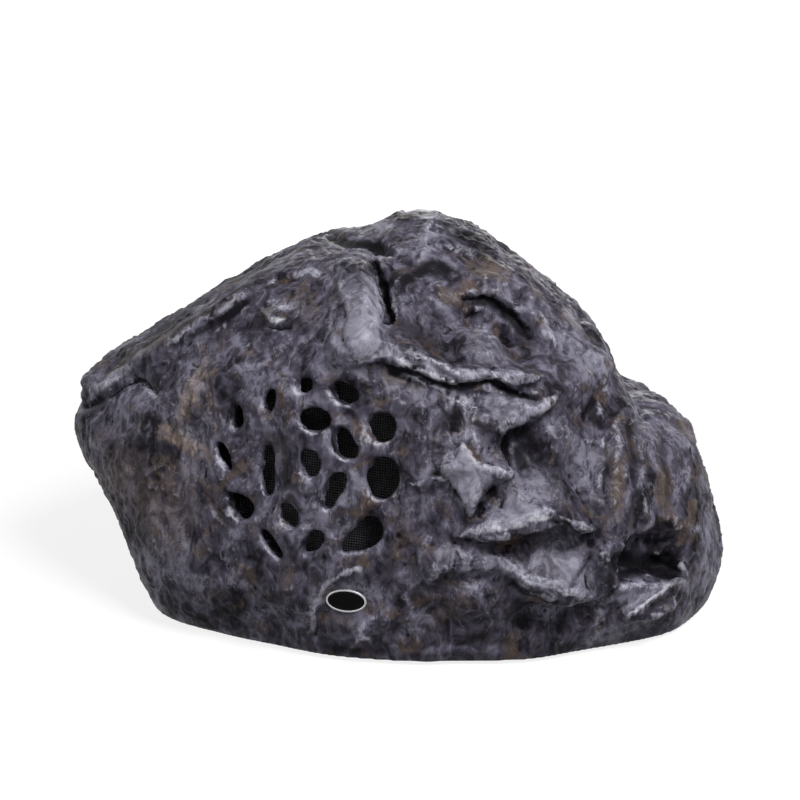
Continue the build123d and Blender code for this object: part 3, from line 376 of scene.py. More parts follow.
@dataclass(frozen=True)
class Finish:
    """A material of one colour range, with a pattern at its real size."""

    name: str
    dark: str
    pale: str
    pattern: Pattern
    size_mm: float
    roughness: Pair
    bump_mm: float
    metallic: float = 0.0
    ior: float = 1.5
    sheen: float = 0.5
    blotch_mm: float = 14.0
    blotch_detail: float = 3.0
    # The tones that take the dark and the pale colour.
    tones: Pair = (0.15, 0.75)

    def material(self) -> Material:
        """Build the node material, or hand back the one already built.

        Returns:
            The material.
        """
        known = bpy.data.materials.get(self.name)
        if known:
            return known
        material = bpy.data.materials.new(self.name)
        material.use_nodes = True
        tree = material.node_tree
        shader = tree.nodes["Principled BSDF"]
        shader.inputs["Metallic"].default_value = self.metallic
        if not self.metallic:
            shader.inputs["IOR"].default_value = self.ior
            shader.inputs["Specular IOR Level"].default_value = self.sheen
        place = add_node(tree, "ShaderNodeTexCoord").outputs["Object"]
        height = self.height(tree, place)
        blotch = add_node(tree, NOISE, {
            "Vector": place, "Scale": 1 / (self.blotch_mm * MM), "Detail": self.blotch_detail}).outputs[0]
        tone = add_node(tree, MATH, {0: height, 1: blotch, 2: self.tones[0]}, operation="MULTIPLY_ADD")
        share = add_node(tree, MAP_RANGE, {"Value": tone.outputs[0]} | limits(self.tones))
        colour = add_node(tree, "ShaderNodeMix", {
            "Factor": share.outputs[0], "A": linear(self.dark), "B": linear(self.pale)}, data_type="RGBA")
        rough = add_node(tree, MAP_RANGE, {"Value": blotch} | limits(NOISE_SPREAD, self.roughness))
        bump = add_node(tree, "ShaderNodeBump", {
            "Height": height, "Distance": self.bump_mm * MM, "Strength": 1.0})
        tree.links.new(colour.outputs["Result"], shader.inputs["Base Color"])
        tree.links.new(rough.outputs[0], shader.inputs["Roughness"])
        tree.links.new(bump.outputs[0], shader.inputs["Normal"])
        return material

    def height(self, tree: NodeTree, place: NodeSocket) -> NodeSocket:
        """Add the nodes of the finish's pattern.

        Args:
            tree: the material's tree.
            place: where on the piece the pattern is read.

        Returns:
            The pattern's height, from 0 to 1.
        """
        scale = 1 / (self.size_mm * MM)
        detail, stir = self.pattern.value[1:]
        if self.pattern not in (Pattern.STACK, Pattern.WEAVE):
            return add_node(tree, NOISE, {
                "Vector": place, "Scale": scale, "Detail": detail, "Distortion": stir}).outputs[0]
        wave = {"Vector": place, "Scale": WAVE_SPACING * scale, "Detail": detail, "Distortion": stir}
        layers = add_node(tree, "ShaderNodeTexWave", wave, bands_direction="Z").outputs["Fac"]
        if self.pattern is Pattern.STACK:
            return layers
        threads = add_node(tree, "ShaderNodeTexWave", wave, bands_direction="X").outputs["Fac"]
        return add_node(tree, MATH, {0: threads, 1: layers}, operation="MULTIPLY").outputs[0]


# Glass-filled plastic from a sparked mould: a fine even grain that dulls the light.
MOULDED_PLASTIC = Finish("moulded_black_plastic", "#131315", "#262629", Pattern.GRAIN, 1.2, (0.42, 0.60),
                         0.05)
# Natural plastic of terminal strips: waxy and cream-coloured.
NATURAL_NYLON = Finish("natural_nylon", "#cbc6b6", "#e5e1d4", Pattern.GRAIN, 1.2, (0.45, 0.60), 0.04)
# Moulded rubber: matt, nearly black, a little dusty.
MOULDED_RUBBER = Finish("moulded_rubber", "#0f0f10", "#242425", Pattern.GRAIN, 1.6, (0.70, 0.90), 0.08)
# Baked enamel on pressed steel: a slight orange peel under a half gloss.
BAKED_ENAMEL = Finish("baked_black_enamel", "#101113", "#27282b", Pattern.CLOUD, 1.8, (0.30, 0.45), 0.05)
# Zinc plating: bright, blue-grey, softly clouded.
ZINC_PLATE = Finish("zinc_plated_steel", "#9a9fa3", "#c8ccd0", Pattern.CLOUD, 6.0, (0.28, 0.45), 0.02,
                    metallic=1.0)
# Pressed and fired ferrite: dark grey and faintly grainy.
FIRED_FERRITE = Finish("fired_ferrite", "#27282a", "#444548", Pattern.GRAIN, 0.9, (0.50, 0.70), 0.06)
# Heat-proof film of the coil's tube: clear amber brown and shiny.
AMBER_FILM = Finish("amber_film", "#74441a", "#a66a2b", Pattern.CLOUD, 5.0, (0.22, 0.35), 0.01)
# Enamelled wire, wound close: drawn coarser than its 0.3 mm so that the turns show.
WOUND_COPPER = Finish("wound_copper_wire", "#8f4719", "#d18b4d", Pattern.STACK, 0.8, (0.25, 0.40), 0.15,
                      metallic=1.0)
# Paper pulp pressed on a screen: black, felted and quite matt.
PAPER_PULP = Finish("pressed_paper_pulp", "#141415", "#302f2f", Pattern.FIBRE, 1.4, (0.78, 0.92), 0.14)
# Cotton stiffened with varnish: amber threads, drawn coarser than real so that they show.
VARNISHED_COTTON = Finish("varnished_cotton", "#9b7536", "#cfae68", Pattern.WEAVE, 0.9, (0.60, 0.80), 0.14)
# Resin-bonded paper board: brown and slightly mottled.
RESIN_BOARD = Finish("resin_bonded_board", "#593820", "#805834", Pattern.FIBRE, 2.5, (0.40, 0.60), 0.03)
# Cold-headed stainless steel: bright with a fine tumbled grain.
STAINLESS = Finish("tumbled_stainless_steel", "#8d9092", "#c6c9cb", Pattern.GRAIN, 0.7, (0.22, 0.38),
                   0.02, metallic=1.0)
# Stacked core sheets: grey bands, drawn at 1 mm so that they show.
CORE_SHEETS = Finish("stacked_core_sheets", "#45494c", "#8b8f93", Pattern.STACK, 1.0, (0.35, 0.55), 0.10,
                     metallic=1.0)
# Polyester tape round the winding: yellow, smooth and slightly creased.
YELLOW_TAPE = Finish("yellow_polyester_tape", "#b3891a", "#e3bf42", Pattern.CLOUD, 9.0, (0.30, 0.45), 0.06)
# Turned brass: warm and bright.
TURNED_BRASS = Finish("turned_brass", "#a37c36", "#dab768", Pattern.GRAIN, 0.7, (0.24, 0.38), 0.02,
                      metallic=1.0)
# Coated wire cloth: a dull dark grey that stays a shadow behind the holes.
COATED_WIRE = Finish("grey_coated_wire", "#4a4a4e", "#828287", Pattern.GRAIN, 0.8, (0.50, 0.65), 0.02)
# Fired enamel of the plate: deep black gloss, faintly uneven.
BLACK_ENAMEL = Finish("black_plate_enamel", "#060607", "#121214", Pattern.CLOUD, 3.0, (0.30, 0.42), 0.02,
                      sheen=0.03)
# The plate's bare border: pale metal dulled by weather.
BORDER_METAL = Finish("weathered_border_metal", "#9d9c9f", "#cfced2", Pattern.GRAIN, 0.8, (0.35, 0.50),
                      0.03, metallic=0.6)

NODE_FINISHES: dict[str, Finish] = {
    "driver_gasket": MOULDED_RUBBER, "driver_basket": BAKED_ENAMEL, "driver_top_plate": ZINC_PLATE,
    "driver_magnet": FIRED_FERRITE, "driver_yoke": ZINC_PLATE, "voice_coil_former": AMBER_FILM,
    "voice_coil_winding": WOUND_COPPER, "driver_cone": PAPER_PULP, "dust_cap": PAPER_PULP,
    "driver_terminal_strip": RESIN_BOARD, "base_plate": MOULDED_PLASTIC, "base_gasket": MOULDED_RUBBER,
    "rubber_feet": MOULDED_RUBBER, "transformer_core": CORE_SHEETS, "transformer_bobbin": MOULDED_PLASTIC,
    "transformer_winding": YELLOW_TAPE, "transformer_strap": ZINC_PLATE, "terminal_block": NATURAL_NYLON,
    "terminal_block_screws": TURNED_BRASS, "cable_gland_body": MOULDED_PLASTIC,
    "cable_gland_seal": MOULDED_RUBBER, "cable_gland_nut": MOULDED_PLASTIC,
    "cable_gland_locknut": MOULDED_PLASTIC,
}


class Tint(Enum):
    """The rock painter's colours, painted sheen, highlight and shade among them, by the name of the attribute
    that carries each one.
    """

    PALE = "pale"
    BRIGHT = "bright"
    BROWN = "brown"
    TAN = "tan"
    DARK = "dark"
    SATIN = "satin"


@dataclass(frozen=True)
class RockPaint:
    """Weatherproof paint on moulded fibreglass: dark sprayed base, streaked and dry-brushed by hand.

    It gives the eye a half-gloss slate with marbled streaks, rusty stains, pale dry-brushed edges with
    painted highlights, painted sheen on facets and painted shade in its creases.
    """

    name: str = "painted_fibreglass"
    ior: float = 1.48
    base: tuple[tuple[float, str], ...] = (
        (0.36, "#1d1b20"), (0.45, "#36333d"), (0.54, "#4d4957"), (0.66, "#737081"))
    # Each coat's two shades, and how much the marbling tears it. The dark coat is mostly painted shade, the
    # facets' coat painted sheen, the brightest coat painted highlight and the pale coat dry-brushed paint
    # with painted highlight.
    tints: tuple[tuple[Tint, str, str, float], ...] = (
        (Tint.BROWN, "#403632", "#6a5d55", 0.8),
        (Tint.TAN, "#6f6056", "#a59282", 0.8),
        (Tint.DARK, "#0a090c", "#17151a", 0.45),
        (Tint.SATIN, "#615e6d", "#a4a1b1", 0.45),
        (Tint.PALE, "#757382", "#bab9c8", 1.0),
        (Tint.BRIGHT, "#a9a9b6", "#e4e4ec", 0.75),
    )
    stain: tuple[str, str] = ("#3d332f", "#65564d")
    fleck: tuple[str, str] = ("#6b6977", "#8f8d9b")
    # Noises: the largest blotches in millimetres, the finer layers and the stirring.
    clouds: Triple = (34.0, 4.0, 0.9)
    marbling: Triple = (10.0, 3.0, 1.4)
    streaks: Triple = (4.2, 2.0, 1.6)
    specks: Triple = (1.1, 2.0, 0.0)
    patches: Triple = (24.0, 4.0, 1.2)
    noise_roughness: float = 0.54
    # The base's tone: shares of the clouds and of the marbling, and what is added to them.
    cloud_share: float = 0.66
    marble_share: float = 0.62
    base_lift: float = -0.140
    # Where the stains and the flecks start and are full, and how much they then cover.
    stain_range: Pair = (0.55, 0.68)
    stain_cover: float = 0.75
    fleck_range: Pair = (0.29, 0.40)
    fleck_cover: float = 0.58
    # How the marbling and the streaks tear a brushed coat, and where a torn coat starts and is full.
    marble_tear: float = 1.3
    streak_tear: float = 1.0
    tear_lift: float = -1.15
    brush_range: Pair = (0.15, 0.95)
    # The tones between which the gloss rises, and the gloss at both.
    gloss_tones: Pair = (0.01, 0.16)
    gloss: Pair = (0.04, 0.28)
    roughness: Pair = (0.36, 0.58)
    bump_mm: float = 0.20
    bump_strength: float = 0.8
    streak_relief: float = 0.9
    drip: Triple = (1.0, 1.0, 0.62)

    def material(self) -> Material:
        """Build the rock's node material.

        Returns:
            The material.
        """
        material = bpy.data.materials.new(self.name)
        material.use_nodes = True
        tree = material.node_tree
        shader = tree.nodes["Principled BSDF"]
        shader.inputs["IOR"].default_value = self.ior
        place = add_node(tree, "ShaderNodeTexCoord").outputs["Object"]
        cloud = self.noise(tree, place, self.clouds)
        # The finer coats ran a little before they dried, so they are drawn out downwards.
        run = add_node(tree, VECTOR_MATH, {0: place, 1: self.drip}, operation="MULTIPLY").outputs[0]
        marble = self.noise(tree, run, self.marbling)
        streak = self.noise(tree, run, self.streaks)
        speck = self.noise(tree, place, self.specks)
        colour = self.sprayed(tree, cloud, marble)
        # Rusty stains lie in soft patches all over, under everything brushed on later.
        patch = self.noise(tree, place, self.patches)
        stains = {"Value": patch} | limits(self.stain_range, (0.0, self.stain_cover))
        rust = add_node(tree, MAP_RANGE, stains, interpolation_type="SMOOTHSTEP").outputs[0]
        colour = self.laid(tree, colour, rust, self.shade(tree, streak, *self.stain))
        # Fine flecks of the pale coat catch on the marbling.
        caught = add_node(tree, MATH, {0: streak, 1: cloud}, operation="MULTIPLY").outputs[0]
        flecks = {"Value": caught} | limits(self.fleck_range, (0.0, self.fleck_cover))
        fleck = add_node(tree, MAP_RANGE, flecks, interpolation_type="SMOOTHSTEP").outputs[0]
        colour = self.laid(tree, colour, fleck, self.shade(tree, speck, *self.fleck))
        colour = self.brushed(tree, colour, marble, streak)
        # The dark undercoat is matt, and what is brushed over it has a half gloss.
        grey = add_node(tree, "ShaderNodeRGBToBW", {"Color": colour}).outputs[0]
        gloss = add_node(tree, MAP_RANGE, {"Value": grey} | limits(self.gloss_tones, self.gloss)).outputs[0]
        rough = add_node(tree, MAP_RANGE, {"Value": streak} | limits(NOISE_SPREAD, self.roughness))
        grit = add_node(tree, MATH, {
            0: streak, 1: self.streak_relief, 2: speck}, operation="MULTIPLY_ADD").outputs[0]
        bump = add_node(tree, "ShaderNodeBump", {
            "Height": grit, "Distance": self.bump_mm * MM, "Strength": self.bump_strength}).outputs[0]
        # What can't read the link takes the mean gloss.
        shader.inputs["Specular IOR Level"].default_value = sum(self.gloss) / 2
        tree.links.new(gloss, shader.inputs["Specular IOR Level"])
        tree.links.new(colour, shader.inputs["Base Color"])
        tree.links.new(rough.outputs[0], shader.inputs["Roughness"])
        tree.links.new(bump, shader.inputs["Normal"])
        return material

    def sprayed(self, tree: NodeTree, cloud: NodeSocket, marble: NodeSocket) -> NodeSocket:
        """Add the dark base coat.

        Args:
            tree: the material's tree.
            cloud: the noise of its large patches.
            marble: the noise of its veins.

        Returns:
            The base colour.
        """
        tone = add_node(tree, MATH, {
            0: cloud, 1: self.cloud_share, 2: self.base_lift}, operation="MULTIPLY_ADD").outputs[0]
        tone = add_node(tree, MATH, {
            0: marble, 1: self.marble_share, 2: tone}, operation="MULTIPLY_ADD").outputs[0]
        ramp = add_node(tree, "ShaderNodeValToRGB", {"Fac": tone})
        # The ramp comes with two stops.
        for spot, _ in self.base[2:]:
            ramp.color_ramp.elements.new(spot)
        for element, (spot, colour) in zip(ramp.color_ramp.elements, self.base):
            element.position, element.color = spot, linear(colour)
        return ramp.outputs["Color"]

    def brushed(self, tree: NodeTree, colour: NodeSocket, marble: NodeSocket,
                streak: NodeSocket) -> NodeSocket:
        """Lay the painter's colours over the base, painted shade, sheen and highlight among them, torn where
        the noises run low.

        Args:
            tree: the material's tree.
            colour: what lies beneath.
            marble: the coarser noise that tears the coats.
            streak: the finer one.

        Returns:
            The colour with every coat on it.
        """
        breaks = add_node(tree, MATH, {
            0: marble, 1: self.marble_tear, 2: self.tear_lift}, operation="MULTIPLY_ADD").outputs[0]
        breaks = add_node(tree, MATH, {
            0: streak, 1: self.streak_tear, 2: breaks}, operation="MULTIPLY_ADD").outputs[0]
        for tint, low, high, tear in self.tints:
            brush = add_node(tree, "ShaderNodeAttribute", attribute_name=tint.value).outputs["Fac"]
            torn = add_node(tree, MATH, {0: breaks, 1: tear, 2: brush}, operation="MULTIPLY_ADD").outputs[0]
            coat = {"Value": torn} | limits(self.brush_range)
            coat = add_node(tree, MAP_RANGE, coat, interpolation_type="SMOOTHSTEP").outputs[0]
            cover = add_node(tree, MATH, {0: coat, 1: brush}, operation="MULTIPLY", use_clamp=True)
            shades = self.shade(tree, marble if tint is Tint.SATIN else streak, low, high)
            colour = self.laid(tree, colour, cover.outputs[0], shades)
        return colour

    def noise(self, tree: NodeTree, place: NodeSocket, grain: Triple) -> NodeSocket:
        """Add paint noise of a real size.

        Args:
            tree: the material's tree.
            place: where on the rock it is read.
            grain: its largest blotches in millimetres, its finer layers and its stirring.

        Returns:
            The noise, from 0 to 1.
        """
        size_mm, detail, stir = grain
        return add_node(tree, NOISE, {
            "Vector": place, "Scale": 1 / (size_mm * MM), "Detail": detail,
            "Roughness": self.noise_roughness, "Distortion": stir}).outputs[0]

    def shade(self, tree: NodeTree, share: NodeSocket, low: str, high: str) -> NodeSocket:
        """Vary a colour between two shades of it, as a noise says."""
        blend = add_node(tree, MAP_RANGE, {"Value": share} | limits(NOISE_SPREAD)).outputs[0]
        return self.laid(tree, linear(low), blend, linear(high))

    def laid(self, tree: NodeTree, under: NodeSocket | tuple,
             cover: NodeSocket, over: NodeSocket | tuple) -> NodeSocket:
        """Lay one coat over another where its cover says."""
        coats = {"Factor": cover, "A": under, "B": over}
        return add_node(tree, "ShaderNodeMix", coats, data_type="RGBA").outputs["Result"]


@dataclass(frozen=True)
class Ridge:
    """A line carved on the rock, its path drawn in pixels of the picture and its sizes in millimetres.

    Its height falls to nothing over the run-out left and right of the path.
    """

    path: Drawing
    height: float
    left: float
    right: float

    def share(self, spots: np.ndarray) -> np.ndarray:
        """How much of the height stands at spots of the sheet, from 0 to 1."""
        reach, left = path_distance(spots, VIEW.sheet(self.path))
        return np.clip(1 - reach / np.where(left, self.left, self.right), 0, 1)


@dataclass(frozen=True)
class Facet:
    """A smooth plane broken out of the rock, outlined in pixels and sized in millimetres.

    Its painted sheen is full near the spot of its painted highlight, fades towards the outline's far end and
    starts steeply at the edge.
    """

    outline: Drawing
    height: float
    bevel: float
    satin: float
    bright: Pair
    painted_sheen_from: float = 1.35
    edge_rise: float = 2.0

    def share(self, spots: np.ndarray) -> np.ndarray:
        """How far spots lie inside the plane.

        Args:
            spots: millimetres across and up, one row each.

        Returns:
            0 at the edge and outside, 1 past the bevel.
        """
        inside = np.zeros(len(spots), bool)
        across, up = spots.T
        corners = VIEW.sheet(self.outline + self.outline[:1])
        for (x0, z0), (x1, z1) in zip(corners[:-1], corners[1:]):
            if z0 != z1:
                inside ^= ((z0 > up) != (z1 > up)) & (across < (x1 - x0) * (up - z0) / (z1 - z0) + x0)
        reach = path_distance(spots, corners)[0]
        return np.where(inside, np.clip(reach / self.bevel, 0, 1), 0.0)

    def painted_sheen_cover(self, spots: np.ndarray) -> np.ndarray:
        """How much painted sheen lies on the plane.

        Args:
            spots: millimetres across and up, one row each.

        Returns:
            Most at the spot of the painted highlight, fading towards the outline's far end.
        """
        bright = VIEW.sheet((self.bright,))
        away = np.hypot(*(spots - bright).T)
        far = np.hypot(*(VIEW.sheet(self.outline) - bright).T).max()
        fade = np.clip(self.painted_sheen_from - away / far, 0, 1)
        return self.satin * fade * smoothstep(self.share(spots) * self.edge_rise)


@dataclass(frozen=True)
class Stroke:
    """A brush stroke, its path drawn in pixels of the picture and its sizes in millimetres.

    Two waves make its width waver, each with a height and with its lengths across and up the sheet.
    """

    path: Drawing
    width: float
    strength: float
    slow_waver: Triple = (0.5, 2.6, 3.7)
    quick_waver: Triple = (0.4, 1.5, 2.1)
    quick_phase: float = 1.3
    thinnest: float = 0.3
    tip_cover: float = 0.45
    tip_widths: float = 2.2
    longest_tip: float = 5.0
    # How full it is at its path, and how fast it falls off.
    body: float = 1.25
    fall: float = 0.8

    def cover(self, spots: np.ndarray) -> np.ndarray:
        """How much of the colour lies on the front.

        Args:
            spots: millimetres across and up, one row each.

        Returns:
            From 0 to 1 for each spot, wavering in width and fading at both ends.
        """
        across, up = spots.T
        slow, slow_x, slow_z = self.slow_waver
        quick, quick_x, quick_z = self.quick_waver
        waver = self.width + slow * np.sin(across / slow_x + up / slow_z)
        waver = waver + quick * np.sin(across / quick_x - up / quick_z + self.quick_phase)
        path = VIEW.sheet(self.path)
        ends = [np.hypot(*(spots - end).T) for end in (path[0], path[-1])]
        tip_mm = min(self.tip_widths * self.width, self.longest_tip)
        tip = self.tip_cover + (1 - self.tip_cover) * smoothstep(np.minimum(*ends) / tip_mm)
        reach = path_distance(spots, path)[0] / np.maximum(waver, self.thinnest)
        return self.strength * tip * smoothstep(self.body - self.fall * reach)


RIDGES: tuple[Ridge, ...] = (
    # Ledge.
    Ridge(((335, 362), (352, 361), (366, 360), (385, 362), (404, 364), (418, 372), (440, 379), (455, 382),
          (466, 381)), 2.6, 9, 3),
    # Ledge's far branch.
    Ridge(((412, 356), (430, 361), (448, 368), (462, 375), (490, 379), (520, 380), (540, 381)), 1.8, 10,
          2.5),
    # Hollow between the branches.
    Ridge(((418, 364), (435, 370), (455, 377)), -2, 2.5, 2.5),
    # Undercut of the ledge.
    Ridge(((404, 366), (412, 372), (430, 380), (450, 386), (465, 384)), -2.5, 2.5, 3.5),
    # Lip below the ledge.
    Ridge(((404, 372), (415, 378), (430, 386), (446, 391)), 2, 2.5, 2.5),
    # Overhang.
    Ridge(((462, 383), (480, 382), (500, 385), (520, 391), (535, 398)), -5, 3, 6),
    # Crevice beside the finger.
    Ridge(((374, 262), (380, 278), (385, 298), (390, 318)), -5, 4, 3),
    # Crown groove.
    Ridge(((334, 238), (352, 243), (370, 248), (388, 253)), -5, 6, 5),
    # Crown line.
    Ridge(((437, 216), (428, 228), (424, 240), (421, 255)), 2, 2.5, 2.5),
    # Scuffed lip.
    Ridge(((262, 314), (278, 318), (292, 314)), 2.2, 5, 2.5),
    # Under the scuffed lip.
    Ridge(((270, 325), (280, 328), (292, 326)), -2.5, 3, 3),
    # Roof rib.
    Ridge(((98, 394), (150, 352), (200, 318), (245, 288), (278, 264)), 3.2, 5, 6),
    # Groove above the rib.
    Ridge(((145, 340), (190, 308), (240, 278), (262, 268)), -3, 4, 4),
    # Groove below the rib.
    Ridge(((186, 346), (220, 318), (252, 295)), -3.4, 4, 6),
    # Bowl beside the tall slit.
    Ridge(((277, 440), (280, 462), (276, 488)), -3, 7, 6),
    # Notch lobe.
    Ridge(((98, 388), (112, 379), (128, 370)), 2, 4, 4),
    # Notch crack.
    Ridge(((84, 408), (96, 402), (108, 394), (140, 381), (156, 390)), -2.5, 3, 3),
    # Star, upper edge.
    Ridge(((473, 416), (468, 430), (463, 442), (475, 462), (492, 470), (511, 473)), 1, 2, 5),
    # Star, lower edge.
    Ridge(((511, 474), (493, 487), (478, 501), (468, 516)), 0.8, 2, 5),
    # Star, left ridge.
    Ridge(((408, 482), (430, 480), (448, 482)), 1.8, 2, 2.5),
    # Recess beside the star.
    Ridge(((508, 432), (506, 450), (510, 466)), -3.5, 4, 3),
    # Recess.
    Ridge(((520, 436), (532, 460)), -2.5, 14, 14),
    # Triangle facet.
    Ridge(((476, 418), (488, 424), (499, 431), (515, 424), (535, 414), (555, 401)), 2.5, 10, 3),
    # Gable, eaves.
    Ridge(((463, 534), (485, 530), (508, 526), (530, 520), (552, 516)), 3, 12, 3),
    # Gable, far eaves.
    Ridge(((552, 516), (570, 522), (592, 529)), 2, 4, 4),
    # Gable, slope.
    Ridge(((516, 490), (530, 498), (542, 507), (552, 516)), 2, 4, 5),
    # Apron, lower edge.
    Ridge(((500, 565), (515, 572), (530, 582), (550, 590), (580, 596)), 3, 11, 3),
    # Apron, right edge.
    Ridge(((580, 596), (584, 570), (588, 545)), 1.5, 6, 2),
    # Small facet, left edge.
    Ridge(((434, 582), (433, 566), (432, 550)), 0.6, 3, 3),
    # Small facet, top edge.
    Ridge(((436, 578), (448, 566), (462, 560), (480, 562), (495, 563)), 2, 5, 3),
    # Lump.
    Ridge(((496, 568), (485, 580), (470, 598), (458, 606)), 1.6, 3, 6),
    # Cave.
    Ridge(((622, 562), (645, 560), (668, 566)), -7, 8, 12),
    # Wedge, upper edge.
    Ridge(((617, 586), (640, 584), (675, 585)), 4, 3, 5),
    # Wedge, lower edge.
    Ridge(((625, 616), (650, 600), (675, 586)), 4, 5, 4),
    # Arch over the plate.
    Ridge(((307, 635), (314, 616), (320, 594), (326, 583), (339, 573), (355, 568), (362, 575)), 1.8, 2.5,
          2.5),
    # Arch below the plate.
    Ridge(((371, 642), (358, 638), (357, 630), (366, 621), (380, 617)), 1.5, 2, 2),
    # Bump left of the plate.
    Ridge(((270, 590), (292, 588)), 2.5, 11, 11),
    # Pit.
    Ridge(((468, 297), (490, 302), (510, 315), (530, 330)), -5, 4, 8),
    # Pit rim.
    Ridge(((466, 290), (490, 290), (515, 302)), 1.5, 3, 4),
    # Valley.
    Ridge(((625, 387), (612, 405), (600, 425), (594, 450), (590, 475)), -3.2, 8, 7),
    # Lobe flute.
    Ridge(((640, 410), (634, 440), (632, 470), (636, 500)), -2.4, 5, 5),
    # Far lobe flute.
    Ridge(((668, 425), (664, 450), (668, 480), (676, 510)), -2.2, 5, 5),
    # Flute beside the lobe.
    Ridge(((612, 440), (606, 470), (606, 500), (612, 530)), -2.2, 5, 4),
    # Streak right of the pit.
    Ridge(((538, 312), (548, 328), (556, 345)), 1.5, 2, 2),
    # Groove right of the pit.
    Ridge(((534, 322), (543, 338), (550, 352)), -1.8, 2.5, 2.5),
)

# Each facet gets a painted sheen: after its height and bevel come the strength of that painted sheen and the
# spot of its painted highlight.
FACETS: tuple[Facet, ...] = (
    # Star.
    Facet(((463, 438), (475, 461), (490, 469), (511, 473), (495, 484), (481, 498), (472, 510), (467, 518),
          (463, 505), (458, 490), (449, 481), (440, 466), (452, 458), (459, 448)), 2.4, 2.5, 1, (446, 466)),
    # Triangle.
    Facet(((470, 398), (500, 392), (530, 397), (556, 398), (552, 408), (530, 416), (515, 425), (500, 431),
          (490, 425), (478, 417)), 1.5, 4, 0.7, (545, 405)),
    # Gable.
    Facet(((512, 492), (530, 500), (545, 509), (553, 516), (530, 521), (508, 527), (485, 531), (465, 534),
          (485, 520), (503, 508)), 2, 3, 1, (540, 516)),
    # Apron.
    Facet(((497, 562), (520, 540), (550, 532), (586, 543), (584, 570), (580, 596), (552, 590), (530, 582),
          (512, 571)), 2, 4, 0.6, (575, 590)),
    # Small facet.
    Facet(((433, 552), (445, 545), (470, 548), (494, 562), (480, 561), (462, 560), (448, 567), (435, 580)),
          1.2, 3, 0.6, (436, 575)),
    # Finger.
    Facet(((338, 268), (352, 261), (368, 263), (376, 275), (380, 300), (383, 325), (385, 348), (372, 356),
          (352, 360), (345, 340), (342, 310), (337, 285)), 2.5, 4, 1, (376, 345)),
    # Bulge.
    Facet(((445, 340), (458, 322), (472, 314), (490, 318), (505, 335), (512, 355), (520, 370), (490, 366),
          (465, 364), (450, 356)), 2.2, 10, 0.5, (490, 345)),
    # Wedge.
    Facet(((614, 586), (645, 584), (677, 585), (652, 602), (626, 618), (618, 604)), 1.2, 2.5, 0.7,
          (640, 606)),
    # Ledge.
    Facet(((345, 362), (366, 357), (382, 350), (400, 354), (412, 356), (440, 365), (470, 375), (520, 378),
          (545, 382), (520, 386), (490, 382), (462, 382), (440, 378), (420, 369), (400, 362), (370, 362)),
          0.5, 2.5, 0.8, (402, 357)),
    # Slope under the bulge.
    Facet(((500, 360), (530, 376), (545, 384), (556, 398), (540, 392), (515, 384)), 0.5, 4, 0.5,
          (520, 378)),
    # Right slope.
    Facet(((555, 308), (568, 305), (585, 325), (592, 345), (580, 345), (565, 328)), 1, 5, 0.6, (565, 310)),
)
